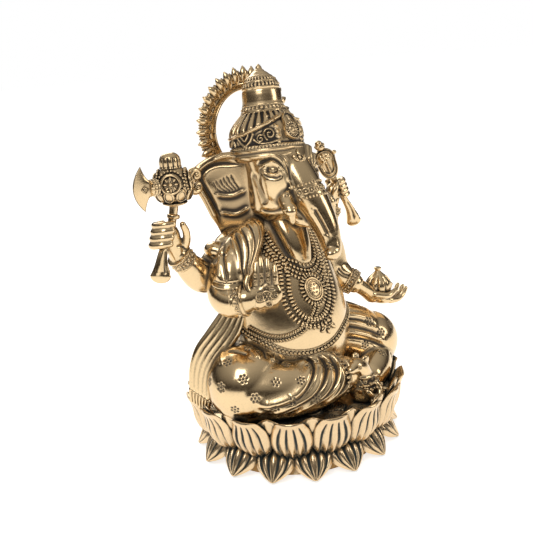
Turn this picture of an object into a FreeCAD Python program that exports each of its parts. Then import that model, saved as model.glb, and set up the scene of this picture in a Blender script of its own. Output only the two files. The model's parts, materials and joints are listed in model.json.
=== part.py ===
import FreeCAD, Part
import math
import os

# A seated elephant-headed figure with four arms on a double lotus base. Every piece is cast
# in brass, located by pins in sockets and brazed; the figure is bolted down on its base.
# Millimetres, +Z up. The origin is on the ground under the middle of the base, and the
# figure faces -Y. Heights of the figure are counted from the top of its seat.

V = FreeCAD.Vector

# Lotus base
foot_half_width = 46.0
foot_half_depth = 44.0
waist_half_width = 42.0
waist_half_depth = 40.0
waist_height = 11.0
seat_half_width = 52.0
seat_half_depth = 50.0
drum_height = 24.0
drum_wall = 3.5
seat_thickness = 3.0
seat_lip_depth = 2.0        # rim under the seat that locates it inside the drum
petals_per_tier = 16
upper_rim_half_width = 59.1
upper_rim_half_depth = 56.8
lower_tip_half_width = 57.3
lower_tip_half_depth = 54.6

# Fixing from beneath
stud_radius = 3.0
stud_reach_up = 14.0        # length held in the figure
washer_radius = 8.0
washer_thickness = 1.2
nut_across_corners = 11.5
nut_height = 4.5
stud_below_nut = 2.0

# Figure
figure_height = 173.0       # seat to the tip of the crown
pin_radius = 2.2            # locating pins of the limbs
pin_length = 7.0
crown_pin_radius = 5.0
handle_radius = 2.2         # shafts held in the two rear fists
bead_radius = 1.7
bangle_width = 7.0
bangle_thickness = 1.2

# Fits
fit_gap = 0.1               # round a locating pin, a lip or a handle
hole_gap = 0.25             # round the fixing stud
bangle_gap = 0.15           # round the forearm inside a bangle
bead_gap = 0.1              # between a bead and the next, and the skin it lies on

seat_top = drum_height + seat_thickness
scale = figure_height / 173.0
nodes = {}


def at(x, y, z):
    """A place on the figure: x and y from the base's axis, z above the seat."""
    return V(x * scale, y * scale, seat_top + z * scale)


def smooth_ring(points):
    """A closed smooth curve through points."""
    curve = Part.BSplineCurve()
    curve.interpolate(points, PeriodicFlag=True)
    return Part.Wire(curve.toShape())


def ring(centre, u, v, half_u, half_v, cup=0.0, count=12):
    """An oval of half axes half_u along u and half_v along v, its u ends bent back by cup."""
    points = []
    for i in range(count):
        t = 2 * math.pi * i / count
        bend = cup * math.cos(t) ** 2
        points.append(centre + u * (half_u * math.cos(t)) + v * (half_v * math.sin(t) - bend))
    return smooth_ring(points)


def stack(rows):
    """A body lofted through level ovals: rows of (height, centre x, centre y, half width, half depth)."""
    rings = [ring(at(x, y, z), V(1, 0, 0), V(0, 1, 0), a * scale, b * scale) for z, x, y, a, b in rows]
    return Part.makeLoft(rings, True, False)


def blob(centre, half_x, half_y, half_z):
    """An egg-shaped body about centre, lofted through level ovals."""
    rows = []
    for degrees in (-82, -60, -30, 0, 30, 60, 82):
        c, s = math.cos(math.radians(degrees)), math.sin(math.radians(degrees))
        rows.append((centre[2] + half_z * s, centre[0], centre[1], half_x * c, half_y * c))
    return stack(rows)


def limb(places, radii, flat=1.0, across=(0, 0, 1), round_start=False, round_end=True):
    """A tapered limb along places. Its section is radius wide along across and flat times that thick."""
    points = [at(*p) for p in places]
    radii = [r * scale for r in radii]
    steps = []
    for i, point in enumerate(points):
        along = points[min(i + 1, len(points) - 1)] - points[max(i - 1, 0)]
        steps.append((point, along.normalize(), radii[i]))
    first, last = steps[0], steps[-1]
    domes = ((0.55, 0.84), (0.9, 0.42))
    if round_end:
        steps += [(last[0] + last[1] * (last[2] * s), last[1], last[2] * c) for s, c in domes]
    if round_start:
        steps = [(first[0] - first[1] * (first[2] * s), first[1], first[2] * c)
                 for s, c in reversed(domes)] + steps
    rings = []
    for point, along, radius in steps:
        u = V(*across)
        u = (u - along * u.dot(along)).normalize()
        rings.append(ring(point, u, along.cross(u), radius, radius * flat))
    return Part.makeLoft(rings, True, False)


def turned(profile, foot, tip):
    """A body turned about the line foot to tip: profile is (distance along it, radius) pairs."""
    axis = tip - foot
    points = [V(0, 0, profile[0][0])] + [V(r, 0, h) for h, r in profile] + [V(0, 0, profile[-1][0])]
    edges = [Part.makeLine(points[0], points[1])]
    curve = Part.BSplineCurve()
    curve.interpolate(points[1:-1])
    edges += [curve.toShape(), Part.makeLine(points[-2], points[-1]), Part.makeLine(points[-1], points[0])]
    solid = Part.Face(Part.Wire(edges)).revolve(V(0, 0, 0), V(0, 0, 1), 360)
    solid.Placement = FreeCAD.Placement(foot, FreeCAD.Rotation(V(0, 0, 1), axis))
    return solid


def join(*bodies):
    """Bodies cast together as one."""
    return bodies[0].multiFuse(list(bodies[1:])).removeSplitter() if len(bodies) > 1 else bodies[0]


def seated(body):
    """The part of body that is above the seat."""
    size = 4 * figure_height
    return body.common(Part.makeBox(size, size, size, V(-size / 2, -size / 2, seat_top)))


def fitted(body, *names):
    """Body cut to the shape of the pieces it is brazed to."""
    return body.cut([nodes[name] for name in names])


def pinned(name, into, start, direction, radius):
    """Give piece name a round pin through start that enters a socket in piece into."""
    way = V(*direction).normalize()
    foot = at(*start)
    pin = Part.makeCylinder(radius * scale, 2 * pin_length * scale, foot - way * (pin_length * scale), way)
    socket = Part.makeCylinder(radius * scale + fit_gap, 2 * pin_length * scale + fit_gap,
                               foot - way * (pin_length * scale), way)
    nodes[name] = nodes[name].fuse(pin)
    nodes[into] = nodes[into].cut(socket)


def largest(shape):
    """The shape's largest solid, without the crumbs a cut leaves."""
    return max(shape.Solids, key=lambda solid: solid.Volume)


# ---- Lotus base ------------------------------------------------------------------------------

def oval(half_width, half_depth, height):
    """A level ellipse about the base's axis, its long axis along whichever half size is larger."""
    centre, wide, deep = V(0, 0, height), V(half_width, 0, 0), V(0, half_depth, 0)
    long, short = (wide, deep) if half_width >= half_depth else (deep, wide * -1)
    return Part.Wire(Part.Ellipse(centre + long, centre + short, centre).toShape())


def oval_plate(half_width, half_depth, bottom, top):
    return Part.makeLoft([oval(half_width, half_depth, z) for z in (bottom, top)], True)


def drum_body(inset, bottom, top):
    """The drum's flared body, inset from its outer face, between two heights."""
    rows = [(foot_half_width, foot_half_depth, 0.0),
            (waist_half_width, waist_half_depth, waist_height),
            (seat_half_width, seat_half_depth, drum_height)]
    rows = [(a - inset, b - inset, z) for a, b, z in rows]
    rows = [(rows[0][0], rows[0][1], bottom)] + rows[1:-1] + [(rows[-1][0], rows[-1][1], top)]
    return Part.makeLoft([oval(a, b, z) for a, b, z in rows], True, False)


def oval_reach(angle, half_width, half_depth):
    """Distance from the axis to an oval in the direction angle."""
    return half_width * half_depth / math.hypot(half_depth * math.cos(angle), half_width * math.sin(angle))


def petal(angle, reach, rows):
    """One cupped petal. Rows give (distance short of reach, height, half width, thickness, cup)."""
    out = V(math.cos(angle), math.sin(angle), 0)
    side = V(-math.sin(angle), math.cos(angle), 0)
    centres = [out * (reach - short) + V(0, 0, height) for short, height, _, _, _ in rows]
    rings = []
    for i, (_, _, half_width, thickness, cup) in enumerate(rows):
        along = centres[min(i + 1, len(rows) - 1)] - centres[max(i - 1, 0)]
        face = along.normalize().cross(side) * -1
        rings.append(ring(centres[i], side, face, half_width, thickness / 2, cup, 10))
    return Part.makeLoft(rings, True, False)


def petal_tier(half_width, half_depth, rows, turn, core):
    """A ring of petals whose tips reach the given oval, cut to the core they spring from."""
    petals = []
    for i in range(petals_per_tier):
        angle = math.radians(-90 + (i + turn) * 360 / petals_per_tier)
        body = petal(angle, oval_reach(angle, half_width, half_depth), rows)
        petals.append(largest(body.cut(core)))
    return Part.makeCompound(petals)


drum = drum_body(0, 0, drum_height)
lip_half_width = seat_half_width - drum_wall
lip_half_depth = seat_half_depth - drum_wall
nodes["lotus_drum"] = drum.cut(drum_body(drum_wall, -0.01, drum_height + 0.01))

plate = oval_plate(seat_half_width, seat_half_depth, drum_height, seat_top)
lip_bottom = drum_height - seat_lip_depth
lip_outer, lip_inner = [
    oval_plate(lip_half_width - inset, lip_half_depth - inset, lip_bottom, drum_height)
    for inset in (2 * fit_gap + seat_lip_depth / 2, 2 * fit_gap + 2 * seat_lip_depth)]
hole = Part.makeCylinder(stud_radius + hole_gap, 4 * seat_thickness, V(0, 0, drum_height - seat_thickness))
nodes["seat_plate"] = plate.fuse(lip_outer.cut(lip_inner)).cut(hole)

upper_rows = [(17.5, 11.0, 3.5, 3.0, 0.3), (12.2, 14.0, 7.8, 5.0, 0.8), (8.2, 19.0, 9.9, 6.0, 1.5),
              (4.6, 25.0, 10.3, 5.0, 2.0), (2.4, 30.0, 9.6, 3.4, 1.8), (0.9, 33.7, 7.6, 1.8, 1.0)]
lower_rows = [(17.3, 7.6, 6.1, 4.0, 0.2), (11.3, 7.4, 8.4, 4.2, 0.8),
              (5.8, 5.2, 7.4, 3.4, 1.0), (0.6, 1.7, 1.6, 1.8, 0.0)]
inner_rows = [(9.3, seat_top - 1.5, 4.9, 2.4, 0.4), (8.6, seat_top + 2.5, 5.1, 2.2, 0.4),
              (7.6, seat_top + 5.8, 3.6, 1.8, 0.3), (7.0, seat_top + 8.6, 0.8, 1.0, 0.0)]
core = [drum, plate]
nodes["upper_petals"] = petal_tier(upper_rim_half_width, upper_rim_half_depth, upper_rows, 0, core)
nodes["lower_petals"] = petal_tier(lower_tip_half_width, lower_tip_half_depth, lower_rows, 0.5, core)
nodes["inner_petals"] = petal_tier(upper_rim_half_width, upper_rim_half_depth, inner_rows, 0.5, core)

# ---- Torso and legs --------------------------------------------------------------------------

torso_rows = [(-1, -1, 4, 27, 20), (8, -1, 2, 31, 24), (22, -2, -3, 33, 26), (38, -3, -5, 32.5, 26.5),
              (52, -3, -4, 31, 25.5), (64, -3, -1, 29.5, 23.5), (76, -3, 3, 29, 20), (86, -2, 7, 26, 16),
              (94, -1, 8, 18, 13), (101, -1, 8, 12, 11.5), (105, -1, 8, 11, 11)]
nodes["torso"] = seated(stack(torso_rows))

right_thigh = limb([(-12, 4, 17), (-26, -1, 20), (-36, -6, 20)], [17, 19.5, 19])
right_knee = blob((-39, -9, 20), 21, 19.5, 19.5)
right_shin = limb([(-42, -14, 18), (-29, -23, 17), (-15, -28, 15), (-5, -31, 15), (3, -33, 16)],
                  [15, 15, 13, 11, 9], round_end=False)
nodes["right_leg"] = largest(fitted(seated(join(right_knee, right_thigh, right_shin)), "torso"))

left_thigh = limb([(14, 2, 24), (28, -4, 26), (38, -9, 22)], [16, 17, 16.5])
left_knee = blob((46, -12, 17), 18, 16.5, 16.5)
left_shin = limb([(44, -19, 10), (36, -26, 8.5), (27, -31, 7)], [10, 9.4, 8])
nodes["left_leg"] = largest(fitted(seated(join(left_knee, left_thigh, left_shin)), "torso"))

nodes["right_foot"] = limb([(2, -33, 16), (7, -34, 16), (13, -34, 15), (20, -34, 13)], [7, 6.5, 6, 5], 0.8)
nodes["right_foot"] = largest(fitted(nodes["right_foot"], "right_leg", "left_leg", "torso"))
left_foot = limb([(25, -30, 6), (21, -35, 5), (18, -40, 3.5)], [7, 6.5, 5], 0.7)
nodes["left_foot"] = largest(fitted(seated(left_foot), "left_leg", "right_leg", "right_foot", "torso"))

# ---- Mouse and sweet --------------------------------------------------------------------------

mouse_body = blob((12.5, -38.5, 8), 8.5, 7, 9)
mouse_head = limb([(12, -37.5, 17), (8.5, -38.5, 21.5), (3.5, -39.5, 23)], [6, 5.8, 3], round_start=True)
mouse = seated(join(mouse_body, mouse_head))
nodes["mouse"] = largest(fitted(mouse, "right_leg", "right_foot", "left_foot", "left_leg"))
ladoo = seated(blob((12, -46.5, 3), 3.4, 3.4, 3.4))
nodes["ladoo"] = largest(fitted(ladoo, "mouse", "left_foot"))

# ---- Head ------------------------------------------------------------------------------------

head_rows = [(97, -1, -1, 12, 12), (103, -1, -1, 17, 16), (113, 0, -1, 19, 17.5), (123, 0, 0, 19.5, 18),
             (131, -1, 3, 18, 17.5), (137, -1.5, 5, 14.5, 14.5)]
nodes["head"] = fitted(stack(head_rows), "torso")
trunk = limb([(0, -5, 122), (1.5, -14, 117), (3, -21.5, 108), (4.5, -26.5, 98.5), (5, -29.5, 90), (3.5, -31.5, 82)],
             [10, 11.3, 10.6, 9, 7.4, 5.6])
nodes["trunk"] = largest(fitted(trunk, "head", "torso"))


def ear(side):
    """A large fan-shaped ear, swept back from the head, with a thick rolled top edge."""
    rows = [(93, 27, 15, 3.5), (98, 26.5, 13, 6.5), (107, 26.5, 12.5, 9), (116, 28, 13, 12),
            (122, 28, 14, 12.5), (127, 25.5, 13, 9.5), (130, 23, 12, 5)]
    out = V(0.79 * side, 0.61, 0)
    back = V(-0.61 * side, 0.79, 0)
    rings = [ring(at(x * side, y, z), out, back, reach * scale, 2.6 * scale, 1.5 * scale)
             for z, x, y, reach in rows]
    return Part.makeLoft(rings, True, False)


nodes["right_ear"] = largest(fitted(ear(-1), "head", "torso"))
nodes["left_ear"] = largest(fitted(ear(1), "head", "torso"))


def tusk(side, length):
    start = (side * 9.5, -15, 107)
    return limb([start, (side * 12.5, -20.5, 103.5), (side * 13.5, -22.5, 103.5 - length)], [3, 2.8, 2.2])


nodes["right_tusk"] = largest(fitted(tusk(-1, 4), "head", "trunk"))
nodes["left_tusk"] = largest(fitted(tusk(1, 8), "head", "trunk"))

# ---- Crown -----------------------------------------------------------------------------------

crown_foot = at(-3, 4, 126.5)
crown_tip = at(0, 10, figure_height / scale)
crown_axis = (crown_tip - crown_foot).normalize()
crown_height = (crown_tip - crown_foot).Length
finial_foot = crown_height - 13.5 * scale
crown_profile = [(0, 18.0), (3, 18.6), (8, 18.4), (13, 18.5), (18, 17.2), (22, 13.6), (25, 10.4), (28, 9.6),
                 (31, 9.7), (finial_foot / scale, 9.9)]
finial_profile = [(0, 9.9), (2.5, 9.8), (5, 8.3), (8, 5.4), (10.5, 2.4), (12.5, 1.2), (13.5, 0.3)]
finial_root = crown_foot + crown_axis * finial_foot
crown = turned([(h * scale, r * scale) for h, r in crown_profile], crown_foot, crown_tip)
nodes["crown"] = largest(fitted(crown, "head"))
nodes["crown_finial"] = turned([(h * scale, r * scale) for h, r in finial_profile], finial_root,
                               finial_root + crown_axis)
medallion_root = crown_foot + crown_axis * (13 * scale)
medallion_way = V(0.28, -0.94, 0.18).normalize()
medallion = Part.makeCylinder(7.2 * scale, 5.0 * scale, medallion_root + medallion_way * (15.2 * scale),
                              medallion_way)
nodes["crown_medallion"] = largest(fitted(medallion, "crown"))

# ---- Arch behind the crown -------------------------------------------------------------------

arch_centre = (0, 24, 141)
arch_inner = 20.0
arch_band = 3.6
arch_thickness = 4.0
arch_foot_angle = -34.0     # below level, where the hoop becomes two straight legs
arch_leg = 24.0
flame_length = 8.6
flame_count = 23


def arch_point(radius, degrees, y=0.0):
    """A place on the arch: a distance and an angle about its centre, and y off its middle plane."""
    t = math.radians(degrees)
    return at(arch_centre[0] + radius * math.cos(t), arch_centre[1] + y, arch_centre[2] + radius * math.sin(t))


def hoop(radius, half):
    """A half-open disc with two legs: everything inside this radius of the arch."""
    ends = [arch_point(radius, degrees, -half) for degrees in (arch_foot_angle, 180 - arch_foot_angle)]
    feet = [end - V(0, 0, arch_leg * scale) for end in ends]
    edges = [Part.Arc(ends[0], arch_point(radius, 90, -half), ends[1]).toShape(),
             Part.makeLine(ends[1], feet[1]), Part.makeLine(feet[1], feet[0]), Part.makeLine(feet[0], ends[0])]
    return Part.Face(Part.Wire(edges)).extrude(V(0, 2 * half * scale, 0))


def flame(degrees):
    """One three-lobed leaf standing on the outside of the arch."""
    radius = arch_inner + arch_band
    root, tip = arch_point(radius - 0.6, degrees), arch_point(radius + flame_length, degrees)
    out = (tip - root).normalize()
    side = out.cross(V(0, 1, 0))
    rings = [ring(root + out * (length * scale), side, V(0, 1, 0), half * scale, thick * scale, 0, 8)
             for length, half, thick in ((0, 1.9, 1.9), (3, 2.4, 2.4), (6, 2.1, 2.2), (8.2, 1.2, 1.3), (9.2, 0.4, 0.4))]
    return Part.makeLoft(rings, True, False)


arch_half = arch_thickness / 2
arch = hoop(arch_inner + arch_band, arch_half).cut(hoop(arch_inner, 2 * arch_half))
nodes["halo_arch"] = fitted(arch, "torso", "right_ear", "left_ear", "head")
band = Part.makeCylinder((arch_inner + arch_band) * scale, 4 * arch_thickness * scale,
                         arch_point(0, 0, -2 * arch_thickness), V(0, 1, 0))
flame_step = (180 - 2 * arch_foot_angle) / (flame_count + 1)
nodes["halo_flames"] = Part.makeCompound(
    [largest(flame(arch_foot_angle + (i + 1) * flame_step).cut([band, nodes["right_ear"], nodes["left_ear"]]))
     for i in range(flame_count)])

# ---- Arms and hands --------------------------------------------------------------------------

arm_routes = {
    "rear_right": ([(-25, 9, 85), (-37, 9, 79), (-46.5, 8, 73.5), (-53, 8, 79), (-60.5, 8, 88)],
                   [10, 8.4, 7.8, 7.4, 5]),
    "rear_left": ([(24, 10, 85), (34, 13, 78), (41.5, 14, 74), (45, 14, 82), (48.5, 14, 91)],
                  [10, 8, 7, 6.4, 4.6]),
    "front_right": ([(-28, 3, 85), (-38, -2, 77), (-44, -8, 67.5), (-43.5, -14, 65.5), (-40.5, -20.5, 67)],
                    [11, 10.8, 9.6, 8.2, 6.4]),
    "front_left": ([(25, 4, 84), (33, 3, 72), (34.5, 0, 61), (37, -4, 55.5), (41, -8.5, 51.5)],
                   [10.5, 9.4, 8.2, 7.4, 5.8]),
}
for name, (route, radii) in arm_routes.items():
    arm = limb(route, radii, round_start=True, round_end=False)
    nodes[name + "_arm"] = largest(fitted(arm, "torso"))
for front, rear in (("front_right_arm", "rear_right_arm"), ("front_left_arm", "rear_left_arm")):
    nodes[rear] = largest(fitted(nodes[rear], front))

hand_routes = {
    "rear_right": ([(-61, 8, 88.8), (-63.5, 8, 93), (-66, 7.5, 98), (-67.5, 7, 103)], [4.8, 6.2, 7.6, 6.4], 0.8),
    "rear_left": ([(48.9, 14, 92), (50.5, 14, 95), (53, 13, 99), (54, 12.5, 103)], [4.4, 5.6, 6.8, 5.6], 0.8),
    "front_right": ([(-40, -21.2, 67.4), (-37.5, -24, 70.5), (-35, -26.5, 75), (-33.5, -28, 80.5),
                     (-33, -29, 84)], [5.8, 7.4, 8.2, 7.0, 4.6], 0.42),
    "front_left": ([(41.6, -9.1, 51.2), (47, -10.5, 46), (56, -11, 40.5), (66, -10.5, 38), (76, -9.5, 38.5)],
                   [5.2, 6.4, 8.2, 6.6, 3.4], 0.4),
}
hand_sides = {"front_right": (1, 0, 0.4), "front_left": (0, 1, 0)}
handles = {
    "axe": ([(-60, 8, 113), (-62.5, 8, 104), (-66.5, 7.6, 96), (-70.5, 7, 90), (-72, 7, 84)]),
    "bud": ([(48.5, 13, 112.5), (52, 12.5, 104), (56.5, 12, 96), (60.5, 12, 88), (64, 12, 80.5)]),
}
for name, route in handles.items():
    swell = [handle_radius] * 3 + [handle_radius * 1.25, handle_radius * 1.9]
    nodes[name + "_handle"] = limb(route, swell, 0.7, across=(1, 0, 0.3), round_end=False)
for name, (route, radii, flat) in hand_routes.items():
    hand = limb(route, radii, flat, across=hand_sides.get(name, (1, 0, 0.4)))
    neighbours = [name + "_arm"] + {"rear_right": ["axe_handle"], "rear_left": ["bud_handle"]}.get(name, [])
    nodes[name + "_hand"] = largest(fitted(hand, *neighbours))

for name, (route, radii) in arm_routes.items():
    wrist, before = at(*route[-1]), at(*route[-2])
    along = (wrist - before).normalize()
    foot = wrist - along * (1.15 * bangle_width)
    share = 1.15 * bangle_width / (wrist - before).Length
    inner = (radii[-1] + (radii[-2] - radii[-1]) * min(share, 1)) * scale + bangle_gap
    ring_of_metal = Part.makeCylinder(inner + bangle_thickness, bangle_width, foot, along)
    nodes[name + "_bangle"] = ring_of_metal.cut(Part.makeCylinder(inner, bangle_width, foot, along))

# ---- What the hands hold ---------------------------------------------------------------------

knob = blob((-59, 8, 122), 9.4, 9.4, 9.2)
nodes["axe_knob"] = largest(fitted(knob, "axe_handle"))
knob_top = [(130, -59.3, 8, 4.4, 4.4), (133, -59.6, 8, 4.8, 4.8), (135.5, -59.8, 8, 4.2, 4.2), (137.5, -60, 8, 2, 2)]
nodes["axe_cap"] = largest(fitted(stack(knob_top), "axe_knob"))
neck = limb([(-66, 8, 122.5), (-70, 8, 122.6), (-74, 8, 122.6)], [5.4, 4.2, 4.2], 0.6, round_end=False)
blade_thickness = 2.4
blade_face = 8 - blade_thickness / 2
edge, heel = at(-80.3, blade_face, 122.6), [at(-75.5, blade_face, z) for z in (133, 112.5)]
corner = [at(-71.5, blade_face, z) for z in (126.5, 118.5)]
blade_edges = [Part.Arc(heel[0], edge, heel[1]).toShape(), Part.makeLine(heel[1], corner[1]),
               Part.makeLine(corner[1], corner[0]), Part.makeLine(corner[0], heel[0])]
blade = Part.Face(Part.Wire(blade_edges)).extrude(V(0, blade_thickness * scale, 0))
nodes["axe_blade"] = largest(fitted(join(neck, blade), "axe_knob"))
curl = limb([(-50.5, 8, 122), (-47.5, 8, 123), (-46.5, 8, 126)], [3, 2.6, 2.4])
nodes["axe_curl"] = largest(fitted(curl, "axe_knob"))

bud = limb([(49, 13, 111.5), (46.5, 13, 116), (44, 13, 121), (41.5, 13, 126), (39.5, 13, 130)],
           [2.6, 4.6, 6.8, 6.2, 3.6], 0.7, across=(1, 0, 0.4))
nodes["lotus_bud"] = largest(fitted(bud, "bud_handle"))

modak_rows = [(40, 58, -11, 4, 4), (42, 58, -11, 6.6, 6.6), (46, 58, -11, 7.6, 7.6), (50, 58, -11, 6.4, 6.4),
              (53, 58, -11, 3.4, 3.4), (55.5, 58, -11, 1.9, 1.9), (57, 58, -11, 2, 2)]
nodes["modak"] = largest(fitted(stack(modak_rows), "front_left_hand"))

# ---- Shawl -----------------------------------------------------------------------------------

shawl_cap = blob((-31.5, 1, 84), 13.5, 14.5, 13)
nodes["shawl_shoulder"] = largest(fitted(shawl_cap, "torso", "front_right_arm", "rear_right_arm"))
shawl_back = limb([(-27, 20, 82), (-14, 25, 78), (4, 26, 72), (20, 23, 62), (29, 16, 50)],
                  [7, 9, 9, 8, 5], 0.3, across=(0, 0, 1))
nodes["shawl_back"] = largest(fitted(shawl_back, "torso", "rear_right_arm", "rear_left_arm", "halo_arch"))
shawl_tail = limb([(-33, 4, 52), (-41, 5, 43), (-48, 7, 35), (-54, 9, 25), (-57, 9, 14)],
                  [6, 7, 6.6, 5.5, 4.4], 0.42, across=(0, -1, 0.4), round_end=False)
nodes["shawl_tail"] = largest(fitted(shawl_tail, "torso", "right_leg"))

# ---- Jewellery -------------------------------------------------------------------------------


def skin(degrees, height, lift=0.0):
    """A place on the torso's skin at an angle from the front, raised by lift."""
    rows = [row for row in zip(torso_rows, torso_rows[1:]) if row[0][0] <= height <= row[1][0]]
    low, high = rows[0]
    share = (height - low[0]) / (high[0] - low[0])
    _, x, y, a, b = [p + (q - p) * share for p, q in zip(low, high)]
    t = math.radians(degrees - 90)
    return (x + (a + lift) * math.cos(t), y + (b + lift) * math.sin(t), height)


def bead_chain(route, radius):
    """Beads side by side on the torso along (angle, height) places."""
    spots = []
    for (angle, height), (next_angle, next_height) in zip(route, route[1:]):
        for i in range(20):
            share = i / 20
            spots.append(at(*skin(angle + share * (next_angle - angle), height + share * (next_height - height),
                                  radius + bead_gap)))
    beads = [spots[0]]
    for spot in spots:
        if (spot - beads[-1]).Length >= 2 * radius * scale + bead_gap:
            beads.append(spot)
    return Part.makeCompound([Part.makeSphere(radius * scale, bead) for bead in beads])


nodes["necklace"] = bead_chain([(-60, 89), (-44, 82), (-24, 76), (-4, 73.5), (16, 76), (34, 82)], 2.2)
nodes["garland"] = bead_chain([(-40, 71), (-36, 63), (-30, 53), (-18, 46), (0, 43), (18, 46), (30, 53),
                               (36, 63), (40, 72)], 2.0)
nodes["belly_band"] = bead_chain([(-76, 48), (-56, 41), (-36, 36.5), (-16, 35.5)], 1.6)
nodes["bead_belt"] = bead_chain([(-62, 34), (-44, 29), (-22, 26.5), (0, 26), (22, 28), (42, 33), (56, 38)],
                                bead_radius)
pendant_place = at(*skin(0, 58, -1.0))
pendant = Part.makeCylinder(6.2 * scale, 4.5 * scale, pendant_place, V(0.12, -1, 0.0))
nodes["pendant"] = largest(fitted(pendant, "torso"))

# ---- Fixing ----------------------------------------------------------------------------------

washer_bottom = drum_height - washer_thickness
nut_bottom = washer_bottom - nut_height
stud = Part.makeCylinder(stud_radius, seat_top + stud_reach_up - nut_bottom + stud_below_nut,
                         V(0, 0, nut_bottom - stud_below_nut))
corners = [V(nut_across_corners / 2 * math.cos(math.radians(60 * i)),
             nut_across_corners / 2 * math.sin(math.radians(60 * i)), nut_bottom) for i in range(7)]
nodes["fixing_stud"] = stud
nodes["fixing_nut"] = Part.Face(Part.makePolygon(corners)).extrude(V(0, 0, nut_height)).cut(stud)
washer = Part.makeCylinder(washer_radius, washer_thickness, V(0, 0, washer_bottom))
nodes["fixing_washer"] = washer.cut(Part.makeCylinder(stud_radius + hole_gap, drum_height))
nodes["torso"] = nodes["torso"].cut(stud)

# ---- Locating pins ---------------------------------------------------------------------------

pinned("head", "torso", (-1, 7, 101), (0, 0, -1), crown_pin_radius)
pinned("crown", "head", (-1.5, 5, 136), (0, 0, -1), crown_pin_radius)
for name, start, direction in (("rear_right", (-28, 13, 82), (1, 0, 0)), ("rear_left", (26, 14, 82), (-1, 0, 0)),
                               ("front_right", (-31, 1, 79), (1, 0.2, 0)), ("front_left", (27, 4, 76), (-1, 0.2, 0))):
    pinned(name + "_arm", "torso", start, direction, pin_radius)

# ---- Write the pieces ------------------------------------------------------------------------

os.makedirs("parts", exist_ok=True)
for name, shape in nodes.items():
    solids = shape.Solids
    faults = [solid for solid in solids if not (solid.isValid() and solid.isClosed())]
    print(f"{name:20s} {len(solids):3d} solids {shape.Volume:9.1f} mm3 {'FAULTY' if faults else ''}")
    shape.exportStep(f"parts/{name}.step")
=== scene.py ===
import bpy
import bmesh
import json
import math
import numpy as np
from mathutils import Matrix, Vector
from mathutils.bvhtree import BVHTree


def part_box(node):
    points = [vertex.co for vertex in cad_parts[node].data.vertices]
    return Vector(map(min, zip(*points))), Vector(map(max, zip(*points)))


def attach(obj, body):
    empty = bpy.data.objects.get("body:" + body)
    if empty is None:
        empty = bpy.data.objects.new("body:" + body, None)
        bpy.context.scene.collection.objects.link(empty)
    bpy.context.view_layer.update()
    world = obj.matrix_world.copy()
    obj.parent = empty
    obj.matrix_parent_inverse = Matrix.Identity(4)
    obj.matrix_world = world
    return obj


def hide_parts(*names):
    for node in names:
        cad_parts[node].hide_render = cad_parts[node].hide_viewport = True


# A seated elephant-headed figure with four arms on a double lotus base, cast in brass, washed
# dark in its hollows and buffed bright. Lengths below are millimetres unless a name says otherwise.
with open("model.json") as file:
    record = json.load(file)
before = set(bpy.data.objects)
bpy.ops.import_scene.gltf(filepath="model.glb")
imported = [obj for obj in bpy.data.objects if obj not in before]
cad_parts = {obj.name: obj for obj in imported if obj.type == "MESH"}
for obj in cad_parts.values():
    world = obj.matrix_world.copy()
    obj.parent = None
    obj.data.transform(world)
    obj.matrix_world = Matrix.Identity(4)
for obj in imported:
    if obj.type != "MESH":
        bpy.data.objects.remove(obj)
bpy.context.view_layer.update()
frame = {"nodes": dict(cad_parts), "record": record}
MM = 0.001
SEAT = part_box("seat_plate")[1].z / MM       # the figure's heights are counted from here

# ---- Camera, floor and light -----------------------------------------------------------------
# The statue stands on a pale floor under three softboxes, in a room with a dark band at eye level
# for the polished brass to mirror.
bearing, rise, lean = (math.radians(a) for a in (-39.0, 15.8, 4.8))
back = Vector((math.sin(bearing) * math.cos(rise), -math.cos(bearing) * math.cos(rise), math.sin(rise)))
level = Vector((math.cos(bearing), math.sin(bearing), 0))
upright = back.cross(level)
right = math.cos(lean) * level - math.sin(lean) * upright
above = math.sin(lean) * level + math.cos(lean) * upright
camera_data = bpy.data.cameras.new("camera")
camera_data.lens = 50.4
camera_data.clip_start = 0.01
camera = bpy.data.objects.new("camera", camera_data)
camera.matrix_world = Matrix.Translation((-0.2521, -0.2942, 0.2035)) @ Matrix((right, above,
        back)).transposed().to_4x4()
bpy.context.scene.collection.objects.link(camera)
bpy.context.scene.camera = camera
bpy.context.scene.view_settings.view_transform = "Standard"


class Wire:
    """A shader socket that can be used in sums: each operator adds the Math node it stands for."""

    def __init__(self, nodes, socket):
        self.nodes, self.socket = nodes, socket

    def _math(self, operation, *values):
        return self.nodes.node("ShaderNodeMath", {"operation": operation}, *values)

    def __add__(self, other):
        return self._math("ADD", self, other)

    def __sub__(self, other):
        return self._math("SUBTRACT", self, other)

    def __rsub__(self, other):
        return self._math("SUBTRACT", other, self)

    def __mul__(self, other):
        return self._math("MULTIPLY", self, other)

    def __pow__(self, other):
        return self._math("POWER", self, other)

    __radd__ = __add__
    __rmul__ = __mul__

    def clamp(self):
        return self.nodes.node("ShaderNodeClamp", {}, self)


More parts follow.
